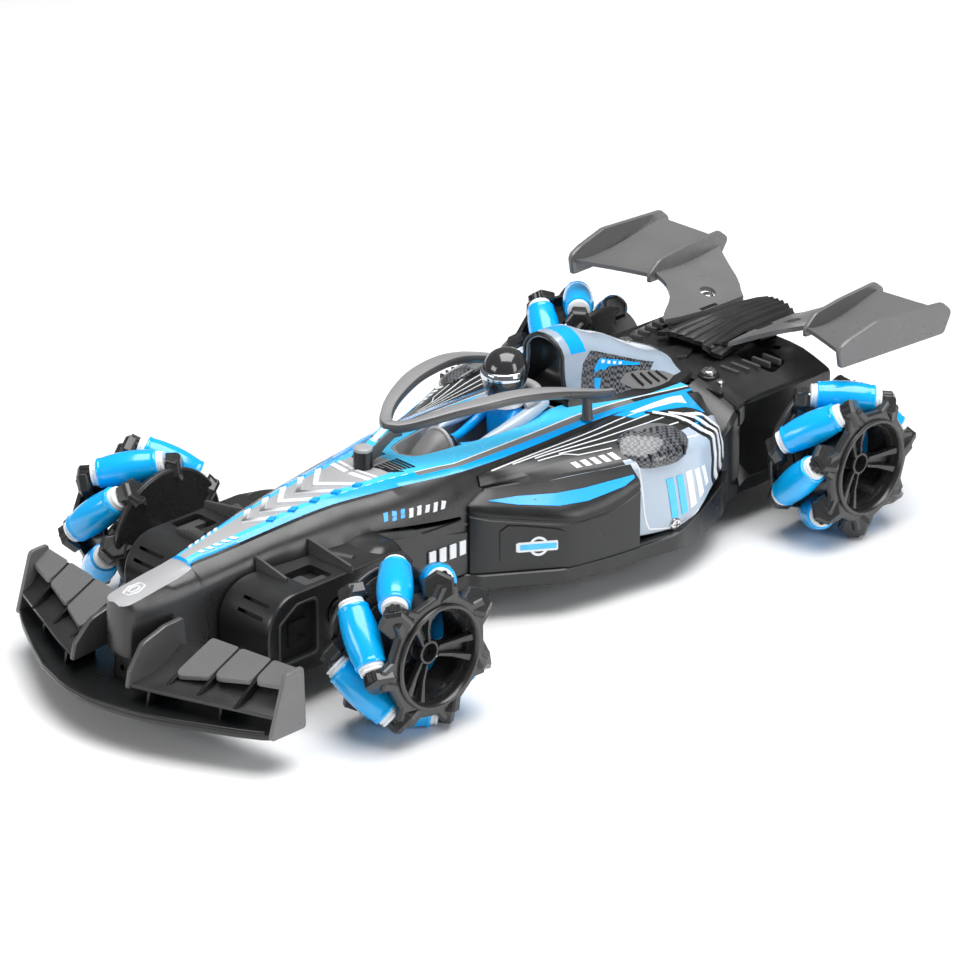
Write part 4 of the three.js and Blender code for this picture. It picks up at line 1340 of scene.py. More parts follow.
def dash():
    """Dash hood, rim, face and steering wheel."""
    hump = Shape()
    rows = [(-27, 2, 50), (-25, 4.6, 52), (-21, 6.4, 55), (-17, 7, 57.6), (-14.2, 7.2, 58.6)]
    rings = []
    for y, half, top in smooth_rows(rows, 1):
        arch = [(half * c, y, 46 + (top - 46) * s ** 0.7) for c, s in sweep(0, 180, 14)]
        rings.append(arch)
    hump.loft(rings)
    piece("dash_hood", hump, "grey", "cockpit_grey", smooth=50)
    rim = Shape()
    arch = [(7.1 * c, -13.6, 46 + 12.6 * s ** 0.7) for c, s in sweep(0, 180, 20)]
    rim.tube(arch, 0.85, 8)
    # The rim is painted light grey as a highlight on the dark dash.
    piece("dash_rim", rim, "top_grey", "cockpit_grey", smooth=60)
    face = Shape()
    outline = [(6.6 * c, 46 + 12 * s ** 0.7) for c, s in sweep(0, 180, 14)]
    face.prism("y", outline, -13.4, -12.6)
    piece("dash_face", face, "black", "cockpit_grey", edge=0.2)
    rim_path = [(3.6 * c, -8.6 + 0.7 * s, 51.4 + 2.8 * s) for c, s in sweep(0, 360, 24)]
    wheel_rim = Shape().tube(rim_path, 0.55, 8)
    wheel_rim.box(-3.4, 3.4, -9, -8.2, 50.9, 51.9)
    wheel_rim.spin([(0, 0.7), (4.4, 0.7)], (0, -12.8, 51), (0, 1, 0.05), 12)
    piece("steering_wheel", wheel_rim, "black", "cockpit_grey", edge=0.15)


def seat():
    """Head bolsters, headrest rim and seat back."""
    bolster = Shape()
    rows = [(-6.5, 9.6, 0.3, 54.6), (-2, 9.9, 1.3, 55.4), (6, 10.2, 2.3, 56.2), (14, 10.2, 2.7, 57.6),
            (22, 9.4, 2.7, 59), (30, 7.6, 2.4, 59.8)]
    rings = []
    for y, x, half, z in smooth_rows(rows, 1.5):
        rings.append([(x + half * c, y, z - 1.6 + half * 0.9 * s) for c, s in circle(12)])
    bolster.loft(rings)
    pair("head_bolster", bolster, "pale", "cockpit_grey", smooth=60)
    collar_rim = Shape()
    arch = [(9.4 * c, 21 + 9.4 * s, 60.4 + 1.8 * s) for c, s in sweep(-12, 192, 24)]
    collar_rim.tube(arch, [1.1 + 0.9 * math.sin(math.pi * k / 24) for k in range(25)], 10)
    # The rim is painted light grey as a highlight on its upward faces.
    piece("headrest_rim", collar_rim, "top_grey", "cockpit_grey", smooth=60)
    seat = Shape().loft([[(-7.4, y, 38.4), (7.4, y, 38.4), (7.4 * w, y + 0.8, 58.6),
                          (-7.4 * w, y + 0.8, 58.6)]
                         for y, w in ((27.6, 0.86), (31.4, 0.86))])
    piece("seat_back", seat, "black", "cockpit_grey", edge=0.8)


def cockpit_fittings():
    """Everything inside the cockpit but the driver."""
    cockpit_walls()
    dash()
    seat()


cockpit_fittings()

DRIVER_Y = 18


def driver_body():
    """Torso, arms and collar."""
    body = Shape()
    rows = [(38.5, 5.4, 4.4), (44, 6.8, 5.2), (52, 7.2, 5.6), (57, 7, 5.4), (60, 5.2, 4.6), (62, 3.8, 3.8)]
    rings = []
    for z, wide, deep in smooth_rows(rows, 1.2):
        rings.append([(wide * c, DRIVER_Y + deep * s, z) for c, s in circle(28)])
    body.loft(rings)
    piece("driver_torso", body, "cyan", "helmet", ("driver",), smooth=60)
    arms = Shape()
    for sign in (1, -1):
        path = smooth_path([(sign * 6, DRIVER_Y - 1, 57), (sign * 7.2, DRIVER_Y - 8, 52),
                            (sign * 5.2, DRIVER_Y - 18, 50.4),
                            (sign * 3.8, DRIVER_Y - 25.6, 51.6)], 5)
        arms.tube(path, [2 - 0.05 * k for k in range(len(path))], 12)
    piece("driver_arms", arms, "cyan", "helmet", smooth=60)
    ring = [(61, 4.4), (61.4, 5.7), (62.8, 6), (63.6, 5.4), (63.8, 4.2)]
    piece("driver_neck_ring", Shape().spin(ring, (0, DRIVER_Y, 0), (0, 0, 1), 32), "black", "helmet")
    collar = [(58.6, 5.6), (59.2, 6.8), (60.6, 6.5), (61.2, 5.2)]
    piece("driver_collar", Shape().spin(collar, (0, DRIVER_Y, 0), (0, 0, 1), 32), "white", "helmet",
          smooth=50)


def driver_head():
    """Helmet, visor and pivots."""
    rows = [(63.4, 5.6, 5.6, 0), (64.2, 6.6, 6.9, 0), (66, 7.2, 7.9, 0), (68.6, 7.5, 8.2, 0),
            (71.4, 7.6, 8.1, 0.1),
            (74, 7.2, 7.5, 0.3), (76.4, 6, 6.2, 0.5), (78, 4.2, 4.4, 0.6), (78.9, 2.2, 2.2, 0.7),
            (79.1, 0.3, 0.3, 0.7)]
    rings = []
    for z, wide, deep, back in smooth_rows(rows, 0.7):
        rings.append([(wide * c, DRIVER_Y + back + deep * s, z) for c, s in circle(36)])
    piece("driver_helmet", Shape().loft(rings), "helmet", "helmet", smooth=70)
    rings = []
    for z, out in ((69.2, 0.1), (69.5, 0.5), (72, 0.55), (72.4, 0.1)):
        row_outer = [((7.55 + out) * c, DRIVER_Y + (8.15 + out) * s, z) for c, s in sweep(-178, -2, 24)]
        inner = [(x * 0.93, DRIVER_Y + (y - DRIVER_Y) * 0.93, z) for x, y, _ in reversed(row_outer)]
        rings.append(row_outer + inner)
    piece("driver_visor", Shape().loft(rings), "visor", "visor", smooth=50)
    pins = Shape()
    for sign in (1, -1):
        pins.spin([(0, 1.5), (0.7, 1.5), (0.9, 1.1)], (sign * 7.2, DRIVER_Y + 0.4, 70.6), (sign, 0, 0), 20)
    piece("driver_visor_pivots", pins, "black", "visor")


def driver():
    """The driver figure: a closed helmet on a plain bust."""
    driver_body()
    driver_head()


driver()

# ---- engine cover -----------------------------------------------------------------------------

COVER_TOP = [(37, 79.3), (42, 79.8), (48, 79.3), (54, 76.6), (60, 73.8), (66, 71.6), (74, 67.4), (82, 63.2),
             (90, 60),
             (98, 57)]
COVER_SHOULDER_X = [(37, 9.4), (48, 10), (60, 11.2), (72, 12), (84, 12), (92, 10.4), (98, 8)]
COVER_SHOULDER_Z = [(37, 73.4), (48, 72.4), (60, 68), (72, 63.6), (84, 60), (98, 55.6)]
COVER_BASE_X = [(37, 12.4), (48, 15.4), (60, 18.4), (72, 20.4), (84, 20.4), (92, 18), (98, 15)]
COVER_BASE_Z = [(37, 55.6), (60, 54.8), (84, 53.4), (98, 52.4)]


def cover_section(y):
    top, sx, sz = read(COVER_TOP, y), read(COVER_SHOULDER_X, y), read(COVER_SHOULDER_Z, y)
    bx, bz = read(COVER_BASE_X, y), read(COVER_BASE_Z, y)
    line = [(0, top), (0.32 * sx, top - 0.3), (0.62 * sx, top - (top - sz) * 0.28),
            (0.86 * sx, top - (top - sz) * 0.62),
            (sx, sz)]
    for share in (0.25, 0.5, 0.75):
        pinch = -1.1 * math.sin(math.pi * share)
        line.append((sx + (bx - sx) * share + pinch, sz + (bz - sz) * share))
    line += [(bx, bz), (bx + 0.6, bz - 2)]
    return line


cover_skin = Skin(cover_section)


def cover_look(y, j):
    if 41 < y < 48 and j < 4:
        return 1
    if y > 91 or j >= 7:
        return 2
    return 0


def engine_cover():
    half = cover_skin.sheet([37, 37.4, 38.4] + steps(39.6, 97, 1.4), cover_look).both()
    walled("engine_cover_skin", half, ("paint", "cyan", "charcoal"), ("engine_cover",),
           1.5, 42)


engine_cover()
def intake():
    """The airbox's dark mouth and lip."""
    mouth = Shape()
    section = [(x, z) for x, z in cover_section(38.6)[:9]]
    outline = section + [(-x, z) for x, z in reversed(section)]
    centre = (0, 68)
    rings = []
    for y, share in ((37.2, 0.92), (38.4, 0.86), (43, 0.74), (46, 0.4), (46.4, 0.05)):
        rings.append([(x * share, y, centre[1] + (z - centre[1]) * share) for x, z in outline])
    mouth.loft(rings, caps=(False, True))
    piece("intake_mouth", mouth, "charcoal", "painted_panel", smooth=60)
    lip = Shape()
    lip.tube([(x * 0.95, 37.2, centre[1] + (z - centre[1]) * 0.95) for x, z in outline], 0.8, 8)
    piece("intake_lip", lip, "charcoal", "painted_panel", smooth=60)


intake()

def cover_trim():
    """Carbon trim, cyan wedge and vent on each flank of the cover."""
    trim = cover_skin.band([(42.8, 7.4), (46.4, 4.9), (50.3, 3.9), (60, 3.9), (70, 4.1), (80, 4.5)],
                           [(44, 7.8), (50, 7.8), (56, 7.7), (62, 7.6), (68, 7.4), (72, 7.0)], lift=0.2)
    pair("cover_carbon_trim", trim, "carbon", "carbon_trim")
    wedge = cover_skin.band([(48.6, 7.2), (50.8, 5.4), (54, 4.5), (62, 4.4), (72, 4.6)],
                            [(50.4, 7.2), (53, 6), (57, 5.2), (63, 5), (72, 4.9)], lift=0.32)
    pair("cover_cyan_wedge", wedge, "cyan", "stripe_blue")
    marks = Shape()
    for k in range(4):
        y = 54.5 + 2.6 * k
        marks.take(cover_skin.band([(y, 4.62), (y + 1.3, 4.6)], [(y - 0.4, 4.95), (y + 0.9, 4.92)],
                                   lift=0.44, pieces=1))
    pair("cover_wedge_marks", marks, "white", "stripe_white")
    vent = cover_skin.band([(60, 6.6), (64, 5.9), (70, 5.6), (76, 5.7), (82, 6.2), (85, 6.9)],
                           [(60, 6.8), (64, 7.5), (70, 7.8), (76, 7.8), (81, 7.6), (85, 7.1)], lift=0.36)
    pair("cover_vent_plate", vent, "grey", "painted_panel")
    slats = Shape()
    for k in range(4):
        y = 66 + 4 * k
        slats.take(cover_skin.line([(y, 6), (y + 2.4, 7.4)], 0.9, lift=0.8))
    pair("cover_vent_slats", slats, "black", "black_plastic")


cover_trim()

# ---- front wing and fairings ------------------------------------------------------------------

SPLITTER_FRONT = [(0, -172.6), (6, -172.4), (12, -171.4), (25, -168), (36, -163), (44, -158.8), (54, -153.6),
                  (61, -149.2), (63.4, -147)]
SPLITTER_REAR = [(0, -141), (9, -139), (24, -137), (40, -135.4), (54, -134.2), (63.4, -134)]


def splitter():
    """The flat splitter and the bead along its front edge."""
    half = SPLITTER_FRONT + list(reversed(SPLITTER_REAR))
    whole = half + [(-x, y) for x, y in reversed(half[1:-1])]
    plan = lambda amount: [(x * (1 - amount / 70), -152 + (y + 152) * (1 - amount / 24)) for x, y in whole]
    rings = [[(x, y, z) for x, y in plan(amount)] for z, amount in ((12.4, 0.5), (12.9, 0), (14.1, 0),
                                                                    (14.5, 0.4))]
    piece("splitter", Shape().loft(rings), "black", "wing_plastic", ("front_wing",), smooth=40)
    edge = [(-x, y) for x, y in reversed(SPLITTER_FRONT[1:-1])] + SPLITTER_FRONT[:-1]
    bead = Shape().tube([(x, y + 0.8, 14.6) for x, y in edge], 0.75, 8)
    piece("splitter_lip", bead, "black", "wing_plastic", smooth=60)


def wing_plane():
    """The curved plane on each side of the nose."""
    upper = Shape()
    front = [(13.6, -164.2, 20.6), (26, -160.4, 20.7), (40, -155, 20.6), (52, -150.4, 20.5),
             (62.6, -146.4, 20.4)]
    rear = [(13.6, -142, 27), (26, -140, 27.8), (40, -137.6, 28.8), (52, -136.2, 29.6), (62.6, -135.6, 30.2)]
    rings = []
    for (xa, ya, za), (xb, yb, zb) in zip(front, rear):
        ring = []
        for t, sag in ((0, 0), (0.15, 0.9), (0.4, 2), (0.7, 1.6), (1, 0)):
            ring.append((xa + (xb - xa) * t, ya + (yb - ya) * t, za + (zb - za) * t - sag))
        rings.append(slab(ring, 1.3))
    upper.loft(rings)
    pair("wing_plane", upper, "charcoal", "wing_plastic", edge=0.2, smooth=40)


def flap_panels():
    """Three stepped flap panels on each plane."""
    panels = Shape()
    spans = ((23.4, 35.6), (36.6, 49.9), (50.9, 62.8))
    for left, right in spans:
        outline = []
        for x, t in ((left, 0), (right, 0), (right, 1), (left, 1)):
            share = (x - 23.4) / 39
            front_y = -153.2 + 12.4 * share + (0.8 * math.sin(share * 3))
            rear_y = -136.8 + 2.4 * share
            outline.append((x, front_y + (rear_y - front_y) * t))
        shaped = rounded(outline, [2, 1, 1, 1.4], 3)

        def place(x, y, drop):
            share = (x - 23.4) / 39
            front_y = -153.2 + 12.4 * share
            back = max(0.0, min(1.0, (y - front_y) / (-136.8 + 2.4 * share - front_y)))
            low = 23.2 + 5.6 * share
            return (x, y, low + (30.8 + 2 * share - low) * back ** 0.85 - drop)

        rings = [[place(x, y, drop) for x, y in shaped] for drop in (1.7, 0)]
        panels.loft(rings)
    pair("wing_flap_panels", panels, "satin", "wing_plastic", edge=0.35)


def wing_ribs():
    """The ribs between the flaps, and the endplates."""
    ribs = Shape()
    for x in (24, 36, 50.4):
        share = (x - 23.4) / 39
        line = [(-158 + 9 * share, 20.4), (-154.4 + 11 * share, 22.4 + 3 * share),
                (-148 + 7 * share, 25.2 + 2.6 * share),
                (-137 + 2 * share, 30.6 + 1.8 * share), (-136, 27), (-146, 20.4)]
        ribs.prism("x", line, x - 0.6, x + 0.6)
    pair("wing_ribs", ribs, "black", "wing_plastic", edge=0.15)
    outline = rounded([(-148.8, 12.6), (-133.8, 12.6), (-134.2, 34), (-141.8, 33.8)], [1.4, 1.4, 1.2, 2.4],
                      4)
    plate = Shape().prism("x", outline, 62.4, 64.2)
    pair("wing_endplate", plate, "satin", "wing_plastic", edge=0.4)


def wing_fins():
    """The tall fin beside the nose."""
    outline = rounded([(-165, 19), (-163.6, 24.6), (-157.2, 32), (-147, 34.8), (-139.6, 35.2), (-139.6, 22),
                       (-147, 20.4)], [0.6, 3, 5, 3, 1, 1, 2], 4)
    fin = Shape()
    rings = []
    for x, shrink in ((12.8, 0.97), (13.2, 1), (14.4, 1), (14.8, 0.97)):
        lean = lambda z: max(0, z - 22) ** 1.5 * 0.035
        rings.append([(x - lean(27 + (z - 27) * shrink), -152 + (y + 152) * shrink, 27 + (z - 27) * shrink)
                      for y, z in outline])
    fin.loft(rings)
    pair("wing_fin", fin, "wing", "wing_plastic", smooth=40)


def wing_supports():
    """Struts under the planes, and the pillar under the nose."""
    struts = Shape()
    for x in (20.6, 44):
        shift = 0.42 * (x - 20.6)
        struts.prism("x", [(-162.6 + shift, 14), (-150 + shift, 14), (-150 + shift, 21),
                           (-161 + shift, 20.2)],
                     x - 0.6, x + 0.6)
    pair("wing_struts", struts, "black", "wing_plastic", edge=0.15)
    rings = []
    for z, grow in ((12.6, 0.9), (14.6, 0.4), (19, 0), (23.6, 0)):
        outline = rounded([(-6 - grow, -142), (-6.2 - grow, -155 - grow), (6.2 + grow, -155 - grow),
                           (6 + grow, -142)],
                          [0, 4, 4, 0], 6)
        rings.append([(x, y, z) for x, y in outline])
    hole = Shape().spin([(-157.4, 1.1), (-152, 1.1)], (0, 0, 18), (0, 1, 0), 20)
    piece("wing_pillar", Shape().loft(rings), "black", "wing_plastic", cuts=(hole,), smooth=45)


def front_wing():
    """The front wing, from the splitter up."""
    splitter()
    wing_plane()
    flap_panels()
    wing_ribs()
    wing_fins()
    wing_supports()


front_wing()

def fairing_shell():
    """The box with its opening, trough and louvres."""
    profile = [(-124.6, 17.4), (-124.6, 28)] + arc(-111.6, 29, 13, 180, 90, 10) + [(-100, 42), (-74, 42.2),
                                                                                   (-66, 41),
                                                                                   (-60, 36), (-58, 28),
                                                                                   (-58, 17.4)]
    shell = Shape()
    rings = []
    for x, shrink in ((10, 1), (34.6, 1), (35.7, 0.985), (36.1, 0.95)):
        rings.append([(x, -95 + (y + 95) * shrink, 17.4 + (z - 17.4) * shrink) for y, z in profile])
    shell.loft(rings)
    cuts = []
    lean = [(6, -160), (10, -142), (14.6, -110), (19.6, -76), (23.6, -54), (6, -50)]
    cuts.append(Shape().prism("z", lean, 0, 60))
    opening = rounded([(-119.6, 19), (-119.4, 33), (-112, 38), (-104, 38), (-104, 19)], 2, 4)
    cuts.append(Shape().prism("x", opening, 34.4, 40))
    cuts.append(Shape().spin([(33, 9), (40, 9)], (0, FRONT_AXLE_Y, AXLE_Z), (1, 0, 0), 36))
    trough = rounded([(22.6, -105.6), (33.6, -105.6), (33.6, -94), (22.6, -94)], 1.4, 4)
    cuts.append(Shape().prism("z", trough, 38.6, 50))
    for y, z in ((-119.8, 38.2), (-122.4, 34.6)):
        louvre = Shape().box(20, 32, -0.55, 0.55, -2, 2)
        turn = Matrix.Translation((0, y, z)) @ Matrix.Rotation(math.radians(50), 4, "X")
        cuts.append(Shape().take(louvre, turn))
    pair("fairing_shell", shell, "charcoal", "charcoal_plastic", "front_fairing_{}", cuts=cuts,
         edge=0.35, smooth=35)


def fairing_window():
    """The opening's rim and the bracket inside it."""
    rim_outline = rounded([(-119.6, 19), (-119.4, 33), (-112, 38), (-104, 38), (-104, 19)], 2, 4)
    grown = [(-112 + (y + 112) * 1.1, 28 + (z - 28) * 1.07) for y, z in rim_outline]
    frame_shape = Shape()
    frame_shape.loft([[(36, y, z) for y, z in rim_outline], [(36.7, y, z) for y, z in rim_outline],
                      [(36.7, y, z) for y, z in grown], [(36, y, z) for y, z in grown],
                      [(36, y, z) for y, z in rim_outline]], caps=(False, False))
    pair("fairing_window_rim", frame_shape, "wing", "charcoal_plastic", edge=0.15)
    bracket = Shape().prism("x",
                            rounded([(-115, 23), (-115, 32), (-107, 32), (-107, 29.4), (-112, 29.4),
                                     (-112, 25.6),
                                          (-107, 25.6), (-107, 23)], 0.4, 2), 34, 35.4)
    pair("fairing_bracket", bracket, "black", "black_plastic", edge=0.2)


def fairing_top():
    """Fins, step plate and damper on the fairing's top."""
    fins = Shape()
    for x0, x1, y, thick, low, high in ((8, 27.2, -108, 0.9, 47.4, 43.2), (12, 36, -88, 1.1, 48, 44)):
        fins.loft([[(x0, y - thick, 41), (x0, y + thick, 41), (x0, y + thick * 0.5, low),
                    (x0, y - thick * 0.5, low)],
                   [(x1, y - thick, 41), (x1, y + thick, 41), (x1, y + thick * 0.5, high),
                    (x1, y - thick * 0.5, high)]])
    lean_cut = Shape().prism("z", [(-5, -160), (8.6, -142), (12.6, -110), (16.6, -86), (18, -70),
                                   (-5, -50)], 0, 60)
    pair("fairing_fins", fins, "wing", "charcoal_plastic", cuts=[lean_cut], edge=0.2)
    plate = Shape().prism("z", rounded([(24, -104), (32.4, -104), (32.4, -91), (28.6, -91), (28.6, -99.4),
                                        (24, -99.4)], 0.5, 2), 38.4, 40.4)
    pair("fairing_step_plate", plate, "wing", "charcoal_plastic", edge=0.3)
    rod = Shape().tube([(19, -84, 40.8), (33.6, -79, 40.8)], 1.1, 12)
    rod.tube([(22, -83, 40.8), (29, -80.6, 40.8)], 1.9, 14)
    pair("fairing_damper", rod, "wing", "charcoal_plastic")


def fairing_cowl():
    """The rounded cowl behind the fairing."""
    cowl = Shape()
    rings = []
    for y, top, out in smooth_rows([(-76, 41.6, 35.6), (-70, 43.6, 35), (-64, 43, 33.6), (-59, 39.4, 31.6),
                                    (-55, 33, 29.6)], 1.5):
        inner = read(FLANK_X, y) - 1
        ring = [(inner, y, 18)]
        for k in range(9):
            angle = math.radians(90 * k / 8)
            ring.append((out - 6 + 6 * math.cos(angle), y, top - 6 + 6 * math.sin(angle)))
        ring.append((inner, y, top))
        rings.append([(out, y, 18)] + ring[1:] + [(inner, y, 18)])
    cowl.loft(rings)
    pair("fairing_cowl", cowl, "charcoal", "charcoal_plastic", smooth=50)


def fairings():
    """The fairings beside the nose, over the front motors."""
    fairing_shell()
    fairing_window()
    fairing_top()
    fairing_cowl()


fairings()


def flank(y, z, out=0.0):
    for k in range(40):
        s = 7 + k * 0.1
        point = body_skin.point(y, s)
        if point.z <= z:
            break
    point.x += out
    return point


def film(low_spot, high_spot, out, deep):
    """A ring across the flank's surface between two (y, z) spots."""
    return [flank(*low_spot, out), flank(*high_spot, out), flank(*high_spot, -deep), flank(*low_spot, -deep)]


def flank_panels():
    """A raised panel and a slanted rib."""
    panel = []
    for y, low, high in ((-63, 20, 39.4), (-62, 19.6, 40.4), (-27.4, 19.4, 35.2), (-26.4, 20, 34.4)):
        panel.append(film((y, low), (y, high), 0.7, 1))
    pair("flank_panel", Shape().loft(panel), "charcoal", "body_shell", edge=0.35)
    rib = []
    for k in range(13):
        y, z = -66 + 40 * k / 12, 42.2 - 5 * k / 12
        rib.append(film((y, z), (y, z + 0.9), 0.6, 0.8))
    pair("flank_rib", Shape().loft(rib), "charcoal", "body_shell", edge=0.25)


def flank_marks():
    """Slanted dashes and blocks."""
    dashes = Shape()
    blue = Shape()
    for k in range(8):
        y = -60 + 3.2 * k
        z = 45.6 - 0.06 * (y + 60) + 0.35
        target = blue if k < 3 else dashes
        target.loft([film((y, z), (y + 0.9, z + 2.6), 0.25, 0.5),
                     film((y + 1.6, z - 0.1), (y + 2.5, z + 2.5), 0.25, 0.5)])
    pair("flank_marks_white", dashes, "white", "stripe_white")
    pair("flank_marks_blue", blue, "cyan", "stripe_blue")
    blocks = Shape()
    for k in range(4):
        y = -43.6 + 4.4 * k
        z = 27.6 - 0.12 * (y + 43)
        blocks.loft([film((a, z), (a, z + 4.6), 0.95, -0.3) for a in (y, y + 2.8)])
    pair("flank_blocks", blocks, "white", "stripe_white", edge=0.1)


def flank_details():
    """Raised and printed details on the nose's flank."""
    flank_panels()
    flank_marks()


flank_details()

# ---- rear deck, ridged cover and rear wing ----------------------------------------------------


def deck_plate():
    """The deck's plate with its wells."""
    rows = [(95, 41), (98, 39.6), (104, 37.6), (112, 37), (124, 37.4), (134, 38.6), (142, 39.4), (146, 39.4)]
    rings = []
    for y, half in smooth_rows(rows, 2):
        dip = 0.6 if y < 99 else 0
        ring = [(half, 40), (half, 45), (half - 0.6, 46.2), (half - 2, 47), (half - 8, 49.2), (26, 50.8),
                (20, 51.6),
                (12, 52), (0, 52)]
        line = [(x, y, z - dip) for x, z in ring]
        line += [(-x, y, z - dip) for x, z in reversed(ring[:-1])]
        rings.append(line)
    deck = Shape().loft(rings)
    wells = [Shape().spin([(50, 1.6), (60, 1.6)], (sign * 20, 138, 0), (0, 0, 1), 20) for sign in (1, -1)]
    pit = Shape().prism("z", rounded([(14.4, 122), (24, 119), (31, 124), (29, 133), (19, 134), (14.4, 130)],
                                     2, 3), 46, 60)
    piece("rear_deck_plate", deck, "charcoal", "black_plastic", ("rear_deck",),
          cuts=[*wells, pit, pit.turned()], edge=0.3, smooth=40)


def deck_fittings():
    """Slats, screws and pegs on the deck."""
    slats = Shape()
    for k in range(5):
        y = 108 + 4.8 * k
        x = 19.4 + 0.8 * k
        slats.loft([[(x, y, 50.6), (x + 7, y + 1.6, 49.6), (x + 7, y + 1.6, 51.8), (x, y, 52.8)],
                    [(x, y + 1.3, 50.6), (x + 7, y + 2.9, 49.6), (x + 7, y + 2.9, 51.8),
                     (x, y + 1.3, 52.8)]])
    pair("deck_slats", slats, "wing", "black_plastic", edge=0.2)
    base = Shape().spin([(49.6, 4.2), (51.6, 4), (52, 3.6), (52, 1)], (20.5, 100.8, 0), (0, 0, 1), 28)
    pair("deck_screw_boss", base, "black", "black_plastic", edge=0.15)
    head = Shape().spin([(51.6, 2.9), (53, 2.9), (53.7, 2.3), (53.9, 0.8)], (20.5, 100.8, 0), (0, 0, 1), 28)
    slots = cross(20.5, 100.8, 1.9, 53.1, 55)
    pair("deck_screw", head, "steel", "screw_steel", cuts=slots, edge=0.12)
    peg = Shape().spin([(49, 1.5), (51.4, 1.5), (51.9, 1), (51.9, 0.4)], (27.4, 99.4, 0), (0, 0, 1), 16)
    pair("deck_peg", peg, "steel", "screw_steel")


def wheel_arches():
    """The arch beside each rear wheel, and its front."""
    arch_rows = [(94, 39.6), (99, 37.4), (106, 36.4), (121, 36), (136, 36.6), (144, 38.4)]
    skin = Shape()
    rings = []
    for y, half in smooth_rows(arch_rows, 2):
        rings.append([(half + 1.6, y, 46), (half, y, 43), (half - 0.4, y, 34), (half + 0.6, y, 24),
                      (half + 3, y, 17),
                      (half - 2, y, 17), (half - 3, y, 46)])
    skin.loft(rings)
    hole = Shape().spin([(25, 7), (48, 7)], (0, REAR_AXLE_Y, AXLE_Z), (1, 0, 0), 32)
    pair("wheel_arch", skin, "black", "black_plastic", cuts=[hole], smooth=50)
    front = Shape()
    rings = []
    for y, half, top in smooth_rows([(84, 42, 40), (88, 42.6, 43), (92, 41.6, 45), (96, 40, 46)], 1.5):
        rings.append([(20, y, top + 6), (half - 8, y, top + 2.6), (half - 1.4, y, top), (half, y, top - 2),
                      (half + 0.6, y, 20), (20, y, 20)])
    front.loft(rings)
    pair("arch_front", front, "charcoal", "black_plastic", smooth=40, edge=0.3)


def rear_deck():
    """The rear deck with its fittings and the arches beside it."""
    deck_plate()
    deck_fittings()
    wheel_arches()


rear_deck()


def ridged_cover():
    """Cover between the wing's two saddles: seven ridges along it and a scalloped front edge."""
    rows = [(111.4, 15.6, 57.4), (116, 15.2, 57.9), (124, 13.4, 58.6), (132, 11.6, 59.2), (148, 11.2, 59.4),
            (156, 10.6, 59), (161.4, 8.6, 58.4)]
    rings = []
    count = 57
    for y, half, top in smooth_rows(rows, 2):
        upper = []
        for k in range(count):
            u = -1 + 2 * k / (count - 1)
            ripple = 0.5 * math.cos(7 * math.pi * u) * (1 if abs(u) < 0.94 else 0)
            scallop = 1.5 * math.cos(7 * math.pi * u) if y < 112 else 0
            upper.append((half * u, y - scallop, top - 3.2 * abs(u) ** 3 + ripple))
        rings.append(slab(upper, 1.6))
    piece("ridged_cover", Shape().loft(rings), "charcoal", "charcoal_plastic", ("rear_wing_cover",),
          smooth=50)
    wall_rings = []
    for z, half, y in ((51.8, 13.4, 117), (53.4, 13.2, 114.6), (55.2, 14, 113.2), (56.8, 14.8, 113)):
        bow = [(half * math.sin(a), y + 5 * (1 - math.cos(a)), z) for a in [math.radians(-80 + 160 * k / 16)
                                                                        for k in range(17)]]
        wall_rings.append(bow + [(x * 0.9, yy + 2, z) for x, yy, _ in reversed(bow)])
    piece("ridged_cover_front", Shape().loft(wall_rings), "black", "charcoal_plastic", smooth=50)
    sides = Shape()
    for sign in (1, -1):
        sides.loft([[(sign * x, y, 51.6), (sign * (x - 1.4), y, 51.6), (sign * (x - 1.8), y, 57.4),
                     (sign * (x - 0.4), y, 57.4)] for x, y in ((13.8, 117), (11.6, 131.6))])
    piece("ridged_cover_sides", sides, "black", "charcoal_plastic", edge=0.2)
    plug = Shape().prism("z",
                         rounded([(-3, 112.6), (-5.6, 106), (-3.4, 101), (3.4, 101), (5.6, 106),
                                  (3, 112.6)], 2, 3),
                         51.6, 53.4)
    piece("deck_tongue", plug, "charcoal", "black_plastic", edge=0.4)


ridged_cover()


